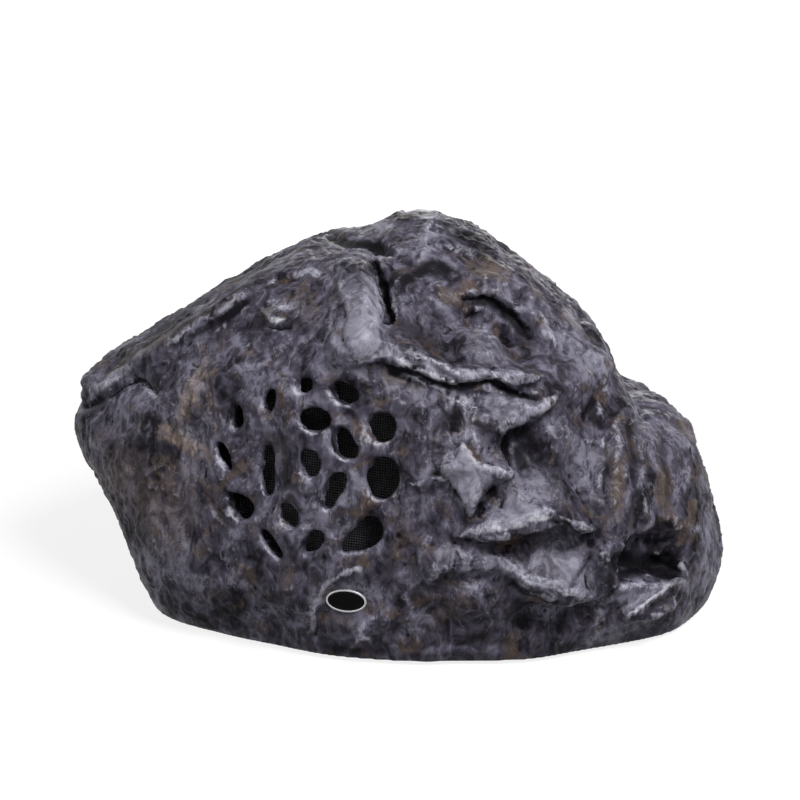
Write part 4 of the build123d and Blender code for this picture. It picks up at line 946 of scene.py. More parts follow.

# Pale strokes: dry-brushed paint, much of it painted highlight where ridges, ledges and facets face the
# light.
DRYBRUSH_AND_HIGHLIGHT_STROKES: tuple[Stroke, ...] = (
    Stroke(((352, 357), (372, 352), (392, 352), (408, 358)), 5.6, 0.85),
    Stroke(((470, 375), (500, 377), (528, 379)), 3.5, 0.7),
    Stroke(((374, 275), (378, 300), (380, 330)), 3.5, 0.75),
    Stroke(((452, 445), (446, 464), (452, 484)), 4.9, 0.75),
    Stroke(((466, 420), (463, 440)), 3.5, 0.75),
    Stroke(((505, 566), (525, 576), (550, 586), (580, 592)), 4.2, 0.85),
    Stroke(((470, 532), (500, 526), (530, 518), (550, 515)), 4.2, 0.95),
    Stroke(((470, 322), (488, 328), (492, 345)), 4.2, 0.45),
    Stroke(((570, 500), (585, 470), (590, 440)), 2.8, 0.4),
    Stroke(((640, 440), (642, 480), (648, 515)), 2.1, 0.6),
    Stroke(((655, 430), (655, 470)), 2.1, 0.5),
    Stroke(((622, 420), (620, 455)), 1.8, 0.5),
    Stroke(((683, 455), (690, 490)), 2.1, 0.5),
    Stroke(((330, 300), (333, 330), (338, 352)), 2.8, 0.55),
    Stroke(((342, 270), (350, 264), (366, 264)), 2.1, 0.5),
    Stroke(((372, 340), (385, 350)), 4.9, 0.6),
    Stroke(((466, 294), (485, 293), (505, 300), (520, 310)), 2.8, 0.65),
    Stroke(((540, 312), (550, 330), (556, 345)), 1.8, 0.8),
    Stroke(((545, 283), (553, 292)), 1.8, 0.8),
    Stroke(((590, 350), (605, 370), (612, 385)), 3.5, 0.5),
    Stroke(((424, 250), (428, 235), (436, 222)), 1.5, 0.9),
    Stroke(((430, 245), (455, 247), (475, 253)), 4.2, 0.5),
    Stroke(((357, 235), (380, 228), (398, 226)), 3.5, 0.6),
    Stroke(((425, 230), (415, 245)), 2.8, 0.5),
    Stroke(((292, 275), (310, 272), (326, 276)), 2.8, 0.9),
    Stroke(((168, 343), (182, 334), (196, 325)), 2.4, 0.9),
    Stroke(((213, 313), (232, 301), (252, 288)), 2.4, 0.6),
    Stroke(((265, 286), (278, 278)), 1.4, 0.8),
    Stroke(((145, 356), (152, 348)), 2.1, 0.6),
    Stroke(((100, 386), (112, 379), (126, 371)), 3.5, 0.95),
    Stroke(((134, 360), (142, 352)), 2.8, 0.6),
    Stroke(((143, 387), (155, 392), (156, 400)), 2.4, 0.9),
    Stroke(((92, 418), (91, 450)), 1.4, 0.6),
    Stroke(((95, 415), (104, 408)), 1.8, 0.7),
    Stroke(((180, 428), (196, 440)), 4.2, 0.6),
    Stroke(((150, 420), (130, 440)), 8.4, 0.3),
    Stroke(((210, 500), (215, 515), (228, 528)), 2.1, 0.6),
    Stroke(((455, 395), (468, 402), (470, 412)), 5.6, 0.85),
    Stroke(((440, 400), (448, 412)), 4.2, 0.5),
    Stroke(((468, 428), (466, 440)), 3.5, 0.6),
    Stroke(((408, 482), (430, 480), (447, 482)), 1.3, 0.9),
    Stroke(((440, 465), (449, 480)), 3.5, 0.7),
    Stroke(((466, 500), (467, 514)), 2.8, 0.7),
    Stroke(((556, 517), (575, 522), (592, 528)), 2.1, 0.75),
    Stroke(((450, 552), (470, 548)), 6.3, 0.3),
    Stroke(((470, 585), (485, 590)), 7, 0.45),
    Stroke(((586, 560), (592, 590), (600, 620), (590, 645)), 3.5, 0.45),
    Stroke(((682, 560), (684, 575)), 1.8, 0.8),
    Stroke(((690, 525), (703, 532)), 2.8, 0.7),
    Stroke(((605, 376), (607, 397)), 1.8, 0.8),
    Stroke(((600, 403), (598, 416)), 1.8, 0.9),
    Stroke(((564, 440), (572, 437), (580, 437)), 1.8, 0.8),
    Stroke(((584, 439), (595, 441)), 1.8, 0.8),
    Stroke(((547, 427), (552, 431), (557, 436)), 2.4, 0.75),
    Stroke(((544, 408), (556, 396)), 2.8, 0.5),
    Stroke(((640, 430), (650, 455)), 2.8, 0.4),
    Stroke(((615, 430), (618, 450)), 2.1, 0.5),
    Stroke(((628, 470), (632, 492)), 2.1, 0.5),
    Stroke(((650, 480), (656, 500)), 2.1, 0.5),
    Stroke(((675, 470), (680, 495)), 2.8, 0.4),
    Stroke(((660, 425), (672, 440)), 3.5, 0.35),
    Stroke(((645, 395), (660, 402)), 3.5, 0.35),
    Stroke(((308, 634), (315, 612), (321, 593), (328, 583), (340, 573), (356, 568), (362, 573)), 2.1, 0.95),
    Stroke(((370, 642), (358, 638), (358, 628), (367, 621), (380, 617)), 1.7, 0.95),
    Stroke(((165, 575), (175, 580)), 2.4, 0.7),
    Stroke(((250, 345), (258, 340)), 2.8, 0.6),
    Stroke(((264, 309), (280, 302), (298, 306)), 4.2, 0.65),
    Stroke(((292, 318), (304, 308)), 2.8, 0.6),
    Stroke(((230, 360), (240, 372)), 7, 0.35),
    Stroke(((415, 410), (425, 440)), 5.6, 0.3),
    Stroke(((560, 540), (580, 545)), 5.6, 0.3),
    Stroke(((655, 620), (690, 600)), 5.6, 0.3),
    Stroke(((404, 374), (415, 379), (430, 386), (446, 391)), 1.4, 0.8),
    Stroke(((285, 380), (284, 388)), 2.8, 0.6),
    Stroke(((246, 384), (240, 394)), 2.1, 0.5),
    Stroke(((300, 490), (312, 486)), 3.5, 0.5),
    Stroke(((345, 511), (352, 500)), 2.8, 0.4),
    Stroke(((265, 395), (260, 418)), 1.8, 0.6),
    Stroke(((396, 400), (410, 402)), 2.1, 0.5),
    Stroke(((407, 425), (415, 440)), 2.1, 0.4),
    Stroke(((500, 394), (501, 402)), 1.4, 0.7),
    Stroke(((535, 405), (550, 398)), 2.1, 0.5),
)

# Bright strokes: painted highlights along lit ridge lines and facet edges, and small painted glints.
PAINTED_HIGHLIGHT_STROKES: tuple[Stroke, ...] = (
    Stroke(((264, 316), (276, 319), (290, 314)), 2.1, 0.85),
    Stroke(((278, 305), (284, 302)), 2.4, 0.8),
    Stroke(((352, 360), (372, 357), (390, 356)), 1.8, 0.6),
    Stroke(((392, 355), (404, 360), (414, 366)), 3.1, 0.85),
    Stroke(((412, 366), (424, 373), (440, 378), (456, 381)), 1.3, 0.9),
    Stroke(((412, 357), (430, 362), (448, 368), (464, 375)), 1, 0.75),
    Stroke(((470, 379), (495, 380), (522, 380)), 1.3, 0.75),
    Stroke(((472, 414), (474, 421)), 1.8, 1),
    Stroke(((462, 402), (468, 406)), 1.8, 0.8),
    Stroke(((463, 440), (475, 461), (490, 469), (511, 473)), 1, 0.7),
    Stroke(((440, 466), (449, 480)), 1.4, 0.6),
    Stroke(((466, 514), (467, 518)), 1.4, 0.7),
    Stroke(((470, 533), (485, 530), (508, 526)), 1.7, 0.85),
    Stroke(((508, 526), (530, 520), (550, 517)), 2.1, 0.95),
    Stroke(((518, 493), (535, 503), (550, 514)), 1, 0.6),
    Stroke(((505, 567), (520, 575), (532, 583), (552, 590), (580, 595)), 1.4, 0.8),
    Stroke(((434, 553), (434, 578)), 1, 0.55),
    Stroke(((440, 574), (450, 565), (462, 560), (480, 562), (494, 563)), 1.1, 0.5),
    Stroke(((618, 587), (632, 586)), 1.8, 0.9),
    Stroke(((632, 586), (673, 586)), 1.1, 0.6),
    Stroke(((627, 613), (650, 600), (673, 587)), 2.1, 0.75),
    Stroke(((170, 341), (178, 336)), 1.8, 0.7),
    Stroke(((101, 385), (108, 380)), 2.4, 0.75),
    Stroke(((338, 267), (343, 266)), 1.4, 0.9),
    Stroke(((325, 274), (328, 270)), 1.4, 0.8),
    Stroke(((246, 346), (251, 342)), 1.4, 0.8),
    Stroke(((544, 335), (548, 333)), 1.8, 0.8),
    Stroke(((150, 541), (157, 541)), 1.4, 0.7),
    Stroke(((436, 484), (444, 482)), 1, 0.6),
    Stroke(((430, 230), (435, 220)), 1, 0.6),
    Stroke(((207, 549), (213, 552)), 1.4, 0.6),
    Stroke(((228, 528), (232, 527)), 1.4, 0.6),
    Stroke(((556, 437), (566, 441)), 1.4, 0.5),
    Stroke(((551, 449), (553, 451)), 1.4, 0.8),
    Stroke(((599, 408), (600, 414)), 1.3, 0.6),
)

BROWN_STROKES: tuple[Stroke, ...] = (
    Stroke(((120, 470), (145, 500), (165, 530)), 21, 0.62),
    Stroke(((185, 475), (182, 520)), 16.8, 0.55),
    Stroke(((105, 440), (130, 470)), 9.8, 0.5),
    Stroke(((112, 368), (142, 350), (174, 332), (208, 313), (240, 295)), 3.5, 0.6),
    Stroke(((305, 300), (315, 320)), 7, 0.6),
    Stroke(((290, 562), (285, 592)), 5.6, 0.7),
    Stroke(((235, 560), (240, 582)), 4.2, 0.6),
    Stroke(((363, 604), (374, 613)), 4.9, 0.9),
    Stroke(((335, 615), (352, 622)), 4.9, 0.75),
    Stroke(((395, 500), (405, 540), (392, 562)), 7, 0.6),
    Stroke(((440, 595), (455, 610), (430, 622)), 5.6, 0.6),
    Stroke(((478, 265), (505, 275)), 7.7, 0.85),
    Stroke(((538, 316), (546, 326)), 3.5, 0.8),
    Stroke(((380, 372), (405, 380), (425, 388)), 5.6, 0.65),
    Stroke(((473, 388), (487, 390)), 3.1, 1),
    Stroke(((612, 455), (620, 490), (615, 515)), 6.3, 0.85),
    Stroke(((660, 470), (664, 490), (668, 515)), 6.3, 0.9),
    Stroke(((680, 415), (690, 435)), 4.9, 0.6),
    Stroke(((585, 448), (602, 462)), 4.9, 0.5),
    Stroke(((520, 598), (560, 606)), 4.2, 0.45),
    Stroke(((515, 285), (528, 300)), 4.9, 0.5),
    Stroke(((595, 480), (600, 500)), 4.9, 0.5),
    Stroke(((200, 600), (230, 590)), 7, 0.4),
    Stroke(((640, 520), (650, 535)), 4.9, 0.5),
    Stroke(((110, 430), (120, 450)), 8.4, 0.4),
)

TAN_STROKES: tuple[Stroke, ...] = (
    Stroke(((207, 368), (192, 390), (178, 420)), 7, 0.65),
    Stroke(((165, 430), (185, 442), (202, 456)), 7.7, 0.7),
    Stroke(((152, 458), (170, 460)), 5.6, 0.6),
    Stroke(((205, 398), (212, 412)), 7.7, 0.45),
    Stroke(((300, 345), (318, 335)), 4.9, 0.4),
)

# Dark strokes: mostly painted shade in grooves, crevices, undercuts, the pit and the cave, with some dark
# paint along the roof edge.
SHADE_AND_DARK_STROKES: tuple[Stroke, ...] = (
    Stroke(((102, 372), (138, 349), (170, 331), (204, 312), (238, 293), (268, 276)), 4.2, 0.66),
    Stroke(((300, 258), (325, 248)), 4.2, 0.6),
    Stroke(((640, 395), (665, 400), (685, 420)), 4.9, 0.6),
    Stroke(((500, 250), (540, 280), (575, 312)), 4.2, 0.6),
    Stroke(((205, 345), (225, 328), (245, 312)), 5.6, 0.6),
    Stroke(((334, 238), (360, 245), (386, 252)), 4.2, 1),
    Stroke(((376, 264), (383, 290), (390, 318)), 3.5, 1),
    Stroke(((470, 298), (490, 303), (510, 316), (530, 331)), 6.3, 1),
    Stroke(((398, 282), (430, 268), (455, 275)), 7, 0.95),
    Stroke(((336, 290), (338, 320)), 2.1, 0.6),
    Stroke(((405, 255), (412, 270)), 4.2, 0.8),
    Stroke(((395, 240), (408, 250)), 3.5, 0.7),
    Stroke(((550, 300), (580, 340)), 3.5, 0.4),
    Stroke(((300, 250), (330, 243)), 3.5, 0.6),
    Stroke(((395, 315), (420, 335), (440, 350)), 6.3, 0.7),
    Stroke(((430, 320), (445, 335)), 5.6, 0.6),
    Stroke(((463, 384), (485, 384), (510, 389), (533, 398)), 3.1, 1),
    Stroke(((412, 371), (430, 381), (452, 386), (463, 385)), 1.8, 0.9),
    Stroke(((508, 432), (506, 450), (509, 466)), 3.5, 1),
    Stroke(((525, 438), (536, 456)), 9.8, 0.9),
    Stroke(((515, 442), (520, 456), (524, 472)), 5.6, 0.95),
    Stroke(((560, 450), (574, 488)), 9.1, 0.55),
    Stroke(((548, 462), (556, 492)), 5.6, 0.6),
    Stroke(((530, 470), (545, 480)), 5.6, 0.5),
    Stroke(((482, 432), (492, 450), (500, 460)), 5.6, 0.5),
    Stroke(((452, 228), (470, 238), (482, 247)), 6.3, 1),
    Stroke(((490, 240), (510, 256), (530, 275)), 4.2, 0.7),
    Stroke(((150, 338), (172, 324), (193, 312)), 2.8, 0.9),
    Stroke(((190, 342), (220, 319), (250, 298)), 3.5, 0.9),
    Stroke(((275, 327), (292, 326)), 2.8, 0.9),
    Stroke(((84, 408), (96, 402), (108, 394)), 2.4, 0.95),
    Stroke(((140, 384), (150, 392)), 2.8, 0.7),
    Stroke(((427, 474), (442, 476)), 2.8, 1),
    Stroke(((410, 490), (440, 492)), 4.9, 0.7),
    Stroke(((480, 508), (490, 497), (502, 489)), 3.5, 0.85),
    Stroke(((420, 500), (445, 525)), 9.8, 0.4),
    Stroke(((505, 578), (530, 592), (556, 601)), 2.8, 0.85),
    Stroke(((470, 538), (510, 533), (540, 527)), 2.8, 0.6),
    Stroke(((620, 566), (645, 562), (670, 570)), 11.2, 1),
    Stroke(((655, 550), (675, 575)), 7, 1),
    Stroke(((609, 572), (612, 602)), 4.2, 0.85),
    Stroke(((632, 592), (655, 591)), 2.1, 0.8),
    Stroke(((620, 622), (650, 612), (680, 592)), 3.5, 0.8),
    Stroke(((270, 582), (290, 596)), 9.1, 0.5),
    Stroke(((615, 400), (605, 420)), 4.2, 0.6),
    Stroke(((553, 358), (565, 376)), 4.9, 0.65),
    Stroke(((560, 400), (565, 425)), 4.9, 0.6),
    Stroke(((543, 306), (550, 298)), 2.8, 0.7),
    Stroke(((700, 540), (706, 556)), 4.9, 0.75),
    Stroke(((405, 560), (420, 570)), 5.6, 0.5),
    Stroke(((640, 405), (655, 425)), 5.6, 0.4),
    Stroke(((375, 600), (395, 590)), 6.3, 0.35),
    Stroke(((495, 573), (500, 582)), 3.5, 0.9),
    Stroke(((590, 600), (600, 560)), 4.2, 0.5),
    Stroke(((632, 425), (632, 470), (638, 500)), 3.5, 0.75),
    Stroke(((664, 430), (664, 470), (672, 510)), 3.5, 0.7),
    Stroke(((607, 440), (604, 480), (610, 525)), 3.5, 0.7),
    Stroke(((230, 620), (280, 638), (340, 650), (420, 655)), 3.5, 0.6),
    Stroke(((570, 650), (630, 640), (680, 610)), 4.2, 0.6),
    Stroke(((436, 582), (455, 600)), 4.2, 0.6),
    Stroke(((283, 430), (288, 450), (284, 480)), 3.5, 0.6),
    Stroke(((255, 425), (268, 428)), 2.8, 0.5),
    Stroke(((300, 540), (292, 552)), 2.1, 0.7),
)

# The dark strokes are mostly painted shade, and the pale and bright ones largely painted highlight.
STROKES: dict[Tint, tuple[Stroke, ...]] = {
    Tint.PALE: DRYBRUSH_AND_HIGHLIGHT_STROKES, Tint.BRIGHT: PAINTED_HIGHLIGHT_STROKES, Tint.BROWN: BROWN_STROKES,
    Tint.TAN: TAN_STROKES, Tint.DARK: SHADE_AND_DARK_STROKES,
}


@dataclass(frozen=True)
class Relief:
    """One grain of the stone's relief: its width, its height and the noise that draws it.

    With a fold the noise is folded about its middle, which turns smooth hills into sharp crests or creases.
    The height goes from the first share to the second as the noise rises, or away from the fold.
    """

    name: str
    size_mm: float
    height_mm: float
    detail: float
    stir: float
    fold: float = 0.0
    shares: Pair = (-1.0, 1.0)

    def grow(self, tree: NodeTree, place: NodeSocket, given: NodeOutputs) -> NodeSocket:
        """Add the nodes of this grain.

        Args:
            tree: the geometry node tree.
            place: where on the rock it is read.
            given: the tree's inputs.

        Returns:
            Its height in metres.
        """
        scale = add_node(tree, MATH, {0: 1.0, 1: given[self.name + " size"]}, operation="DIVIDE").outputs[0]
        noise = add_node(tree, NOISE, {
            "Vector": place, "W": given["Seed"], "Scale": scale, "Detail": self.detail,
            "Distortion": self.stir}, noise_dimensions="4D").outputs[0]
        if self.fold:
            off = add_node(tree, MATH, {0: noise, 1: -NOISE_MIDDLE}, operation="ADD").outputs[0]
            away = add_node(tree, MATH, {0: off}, operation="ABSOLUTE").outputs[0]
            share = add_node(tree, MAP_RANGE, {"Value": away} | limits((0.0, self.fold), self.shares))
        else:
            low, high = self.shares
            share = add_node(tree, MATH, {0: noise, 1: high - low, 2: low}, operation="MULTIPLY_ADD")
        height = given[self.name + " height"]
        return add_node(tree, MATH, {0: share.outputs[0], 1: height}, operation="MULTIPLY").outputs[0]


@dataclass
class RockShell:
    """The moulded rock: the frame's shell remeshed, softened, carved, weathered and painted.

    Its lengths are in metres, or in millimetres where the name says so. A span is a start and a length.
    """

    node: str = "rock_shell"
    slot: str = "painted_fibreglass"
    paint: RockPaint = RockPaint()
    voxel_mm: float = 1.6
    core: Triple = (0.0, 0.0, 0.11)
    lining_below: float = -0.1
    grille_radius: float = 0.080
    grille_depth: float = 0.004
    back_from: float = 0.015
    lining_triangles: int = 9000
    back_triangles: int = 34000
    front_triangles: int = 140000
    # The skin stays as it is at the foot and round what seats in it, and comes free over these spans.
    foot_span_mm: Pair = (5.0, 12.0)
    seats: tuple[tuple[str, float, float], ...] = (("badge_plate", 3.0, 8.0), ("cable_gland_nut", 12.0, 10.0))
    # Each round of softening draws in and then lets out a little more, so that nothing shrinks.
    soften_rounds: int = 24
    draw_in: float = 0.55
    let_out: float = -0.57
    # Edges of the solid that are mouths of sound holes, by their angle and how their two faces look out.
    mouth_angle: float = 0.7
    mouth_facing: float = 0.45
    wall_facing: Pair = (-0.5, 0.4)
    mouth_steps: int = 4
    rim_height_mm: float = 2.2
    rim_reach_mm: float = 4.5
    rim_rounds: int = 18
    rim_relax: float = 0.5
    rim_calming: float = 0.85
    calming: float = 0.90
    # How far a face has to look towards the eye to be carved and to be painted with strokes.
    carved_span: Pair = (0.05, 0.30)
    brushed_span: Pair = (-0.03, 0.25)
    # The wander of drawn lines: two heights, and for each direction its waves and their bend.
    wander_mm: Pair = (1.2, 0.8)
    slow_waves_mm: Pair = (6.1, 6.7)
    quick_waves_mm: Pair = (4.3, 4.9)
    bends: Pair = (0.4, 0.5)
    bend_waves_mm: Pair = (9.0, 8.0)
    wander_phase: float = 1.1
    reliefs: tuple[Relief, ...] = (
        Relief("Lump", 26.0, 1.4, 3.0, 0.7),
        Relief("Crag", 34.0, 3.6, 2.0, 0.6, fold=0.20, shares=(0.5, -0.5)),
        Relief("Crease", 17.0, 1.0, 4.0, 1.2, fold=0.07, shares=(-1.0, 0.0)),
        Relief("Wrinkle", 8.0, 0.8, 2.0, 1.5),
    )
    seed: float = 4.7
    # Edges stand out from the skin after a few rounds of relaxing, and swells after many.
    edge_rounds: int = 6
    swell_rounds: int = 30
    blur_rounds: int = 2
    form_relax: float = 0.6
    # Colours by form: how much, and from which height over how many millimetres. Edges and swells get pale
    # paint and painted highlight, creases and hollows painted shade, and hollows also brown.
    edge_drybrush_and_highlight: Triple = (0.55, 0.12, 0.5)
    swell_drybrush_and_highlight: Triple = (0.15, 0.5, 1.6)
    painted_edge_highlight: Triple = (0.35, 0.6, 0.6)
    brown_hollows: Triple = (0.3, 0.2, 1.2)
    painted_crease_shade: Triple = (0.9, 0.15, 0.5)
    painted_hollow_shade: Triple = (0.4, 0.7, 1.5)
    # Rims get a painted highlight on the side that looks this way, towards the light.
    lit_side: Triple = (0.50, -0.20, 0.84)
    lit_rim_span: Pair = (0.35, 0.5)
    painted_rim_highlight: float = 0.6
    painted_rim_glint: float = 0.5

    def build(self, joint: dict) -> Object:
        """Make, shape and paint the rock.

        Args:
            joint: the cone's slide, whose axis is the driver's.

        Returns:
            The finished rock.
        """
        axis = np.array(joint["axis"], float)
        low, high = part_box("grille_screen")
        middle = (np.array(low) + np.array(high)) / 2
        rock = self.remeshed()
        self.thin(rock, self.lining(rock.data, middle, axis), self.lining_triangles)
        skin = 1.0 - self.lining(rock.data, middle, axis)
        points = coordinates(rock.data)
        skin *= eased(points[:, 2] / MM, self.foot_span_mm)
        for node, *span in self.seats:
            skin *= self.clear_of(node, points, span)
        self.soften(rock.data, skin)
        self.carve(rock.data, skin)
        self.raise_rims(rock.data, axis, middle, skin)
        set_attribute(rock.data, "skin", skin)
        sizes = {f"{relief.name} size": relief.size_mm * MM for relief in self.reliefs}
        heights = {f"{relief.name} height": relief.height_mm * MM for relief in self.reliefs}
        use_tree(rock, self.weathering(), {"Seed": self.seed} | sizes | heights)
        self.keep_in_box(rock.data)
        self.daub(rock.data)
        for behind, triangles in ((True, self.back_triangles), (False, self.front_triangles)):
            there = (coordinates(rock.data)[:, 1] > self.back_from) == behind
            self.thin(rock, ~self.lining(rock.data, middle, axis) & there, triangles)
        self.keep_in_box(rock.data)
        rock.data.materials.clear()
        rock.data.materials.append(self.paint.material())
        rock.data.shade_smooth()
        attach(rock, BODY)
        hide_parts(self.node)
        return rock

    def remeshed(self) -> Object:
        """Copy the shell and give it even faces.

        Returns:
            The new object, not yet carved.
        """
        mesh = bpy.data.meshes.new("moulded_rock")
        work = merged_copy(self.node)
        work.to_mesh(mesh)
        work.free()
        rock = new_object("moulded_rock", mesh)
        remesh = rock.modifiers.new("even", "REMESH")
        remesh.mode = "VOXEL"
        remesh.voxel_size = self.voxel_mm * MM
        made_plain(rock)
        return rock

    def lining(self, mesh: Mesh, middle: np.ndarray, axis: np.ndarray) -> np.ndarray:
        """Find the points of the inside, which look back at the rock's core.

        Args:
            mesh: the rock's mesh.
            middle: the screen's middle.
            axis: the driver's axis, pointing out.

        Returns:
            True for each point of the inside, except round the sound holes.
        """
        points = coordinates(mesh)
        ways = points - np.array(self.core)
        ways /= np.linalg.norm(ways, axis=1)[:, None]
        outward = (normals(mesh) * ways).sum(axis=1)
        return (outward < self.lining_below) & ~self.in_grille(points, middle, axis)

    def in_grille(self, points: np.ndarray, middle: np.ndarray, axis: np.ndarray) -> np.ndarray:
        """Find the points round the sound holes, in front of the screen.

        Args:
            points: positions in metres.
            middle: the screen's middle.
            axis: the driver's axis, pointing out.

        Returns:
            True for each point in the pierced area.
        """
        off = points - middle
        along = off @ axis
        across = np.linalg.norm(off - along[:, None] * axis, axis=1)
        return (across < self.grille_radius) & (along > self.grille_depth)

    def clear_of(self, node: str, points: np.ndarray, span: Pair) -> np.ndarray:
        """Fade to nothing near a solid's box, so that it keeps its seat.

        Args:
            node: the solid that seats there.
            points: positions in metres.
            span: millimetres round the box where the fade starts and over which it runs.

        Returns:
            0 at the seat to 1 away from it.
        """
        low, high = (np.array(corner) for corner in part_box(node))
        off = np.maximum(np.maximum(low - points, points - high), 0)
        return eased(np.linalg.norm(off, axis=1) / MM, span)

    def thin(self, rock: Object, chosen: np.ndarray, triangles: int) -> None:
        """Collapse the chosen part of the rock to a number of triangles, keeping its edges.

        Args:
            rock: the rock's object.
            chosen: true for each point that may go.
            triangles: how many may stay there.
        """
        mesh = rock.data
        mesh.calc_loop_triangles()
        corners = np.empty(len(mesh.loop_triangles) * 3, np.int32)
        mesh.loop_triangles.foreach_get("vertices", corners)
        there = int(chosen[corners.reshape(-1, 3)].any(axis=1).sum())
        if there <= triangles:
            return
        total = len(mesh.loop_triangles)
        group = rock.vertex_groups.new(name="may_go")
        group.add(np.flatnonzero(chosen).tolist(), 1.0, "REPLACE")
        collapse = rock.modifiers.new("collapse", "DECIMATE")
        collapse.ratio = (total - there + triangles) / total
        collapse.vertex_group = group.name
        made_plain(rock)
        rock.vertex_groups.clear()

    def relaxed(self, mesh: Mesh, points: np.ndarray, weights: np.ndarray, share: float) -> np.ndarray:
        """Move points towards the mean of their neighbours.

        Args:
            mesh: the mesh whose edges join the points.
            points: the positions to move.
            weights: how much each one may move, from 0 to 1.
            share: how far towards the mean, or away from it if negative.

        Returns:
            The moved positions.
        """
        edges = np.empty(len(mesh.edges) * 2, np.int32)
        mesh.edges.foreach_get("vertices", edges)
        first, second = edges.reshape(-1, 2).T
        count = np.bincount(edges, minlength=len(points))
        mean = np.empty_like(points)
        for way in range(3):
            mean[:, way] = (np.bincount(first, points[second, way], len(points))
                            + np.bincount(second, points[first, way], len(points))) / count
        return points + share * weights[:, None] * (mean - points)

    def soften(self, mesh: Mesh, skin: np.ndarray) -> None:
        """Round off the facets of the solid without shrinking it.

        Args:
            mesh: the rock's mesh.
            skin: how much each point may move.
        """
        points = coordinates(mesh)
        for _ in range(self.soften_rounds):
            points = self.relaxed(mesh, points, skin, self.draw_in)
            points = self.relaxed(mesh, points, skin, self.let_out)
        set_coordinates(mesh, points)

    def spots(self, points: np.ndarray) -> np.ndarray:
        """Put points on the sheet, with a small wander that keeps drawn lines from running straight.

        Args:
            points: positions in metres.

        Returns:
            Millimetres across and up, one row each.
        """
        drawn = VIEW.seen(points)
        across, up = drawn.T
        slow, quick = self.wander_mm
        bend_x = self.bends[0] * np.sin(across / self.bend_waves_mm[0])
        bend_z = self.bends[1] * np.sin(up / self.bend_waves_mm[1])
        slow_x = slow * np.sin(up / self.slow_waves_mm[0] + bend_x)
        slow_z = slow * np.sin(across / self.slow_waves_mm[1] + self.wander_phase + bend_z)
        quick_x = quick * np.sin((across + up) / self.quick_waves_mm[0])
        quick_z = quick * np.sin((across - up) / self.quick_waves_mm[1])
        return drawn + np.stack((slow_x + quick_x, slow_z + quick_z)).T

    def carve(self, mesh: Mesh, skin: np.ndarray) -> None:
        """Cut the ridges, grooves and facets of the front into the rock.

        Args:
            mesh: the rock's mesh.
            skin: how much each point may move, which is less afterwards where something was cut.
        """
        points, ways = coordinates(mesh), normals(mesh)
        front = skin * eased(VIEW.facing(ways), self.carved_span)
        spots = self.spots(points)
        lift, calm = np.zeros(len(points)), np.zeros(len(points))
        for form in RIDGES + FACETS:
            share = form.share(spots)
            lift += form.height * share
            calm = np.maximum(calm, share)
        skin *= 1 - self.calming * calm * front
        set_coordinates(mesh, points + ways * (lift * front * MM)[:, None])

    def raise_rims(self, mesh: Mesh, axis: np.ndarray, middle: np.ndarray, skin: np.ndarray) -> None:
        """Swell the skin round the mouth of each sound hole and calm it there.

        Args:
            mesh: the rock's mesh.
            axis: the driver's axis, pointing out.
            middle: the screen's middle.
            skin: how much each point may move.
        """
        work = merged_copy(self.node)
        mouths = []
        for edge in work.edges:
            if len(edge.link_faces) != 2:
                continue
            wall, outer = sorted(face.normal.dot(Vector(axis)) for face in edge.link_faces)
            sharp = edge.calc_face_angle() > self.mouth_angle
            if sharp and outer > self.mouth_facing and self.wall_facing[0] < wall < self.wall_facing[1]:
                start, end = (point.co for point in edge.verts)
                mouths += [start.lerp(end, step / self.mouth_steps) for step in range(self.mouth_steps)]
        work.free()
        spots = np.array(mouths)
        mouths = spots[self.in_grille(spots, middle, axis)]
        tree = KDTree(len(mouths))
        for index, spot in enumerate(mouths):
            tree.insert(spot, index)
        tree.balance()
        points, ways = coordinates(mesh), normals(mesh)
        near = np.flatnonzero(self.in_grille(points, middle, axis) & (skin > 0))
        reach = np.array([tree.find(points[index])[2] for index in near]) / MM
        rise = np.exp(-(reach / self.rim_reach_mm) ** 2)
        lift = self.rim_height_mm * rise * np.clip(ways[near] @ axis, 0, 1)
        points[near] += ways[near] * (lift * MM)[:, None]
        mouth = np.zeros(len(points))
        mouth[near] = rise
        set_attribute(mesh, "mouth", mouth)
        skin *= 1 - self.rim_calming * mouth
        rounding = np.zeros(len(points))
        rounding[near] = smoothstep((2 * self.rim_reach_mm - reach) / self.rim_reach_mm)
        for _ in range(self.rim_rounds):
            points = self.relaxed(mesh, points, rounding, self.rim_relax)
        set_coordinates(mesh, points)
        LOG.info("hole mouths: %d points", len(mouths))

    def weathering(self) -> NodeTree:
        """Make the tree that gives the skin lumps, crags, creases and wrinkles.

        Returns:
            The geometry node tree.
        """
        sizes = [f"{relief.name} {size}" for relief in self.reliefs for size in ("size", "height")]
        tree = new_tree("weathered_stone", {size: "NodeSocketFloat" for size in sizes + ["Seed"]})
        given = add_node(tree, "NodeGroupInput").outputs
        place = add_node(tree, "GeometryNodeInputPosition").outputs[0]
        total = None
        for relief in self.reliefs:
            height = relief.grow(tree, place, given)
            total = height if total is None else add_node(tree, MATH, {0: total, 1: height}).outputs[0]
        skin = add_node(tree, "GeometryNodeInputNamedAttribute", {"Name": "skin"}, data_type="FLOAT")
        total = add_node(tree, MATH, {0: total, 1: skin.outputs[0]}, operation="MULTIPLY").outputs[0]
        way = add_node(tree, "GeometryNodeInputNormal").outputs[0]
        offset = add_node(tree, VECTOR_MATH, {0: way, "Scale": total}, operation="SCALE").outputs[0]
        moved = add_node(tree, "GeometryNodeSetPosition", {"Geometry": given["Geometry"], "Offset": offset})
        close_tree(tree, moved.outputs[0], None)
        return tree

    def keep_in_box(self, mesh: Mesh) -> None:
        """Hold every point inside the solid's own box."""
        low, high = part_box(self.node)
        set_coordinates(mesh, np.clip(coordinates(mesh), np.array(low), np.array(high)))

    def by_form(self, heights: np.ndarray, coat: Triple) -> np.ndarray:
        """Lay a coat where heights rise: how much of it, and the span over which it comes on."""
        most, *span = coat
        return most * eased(heights, span)

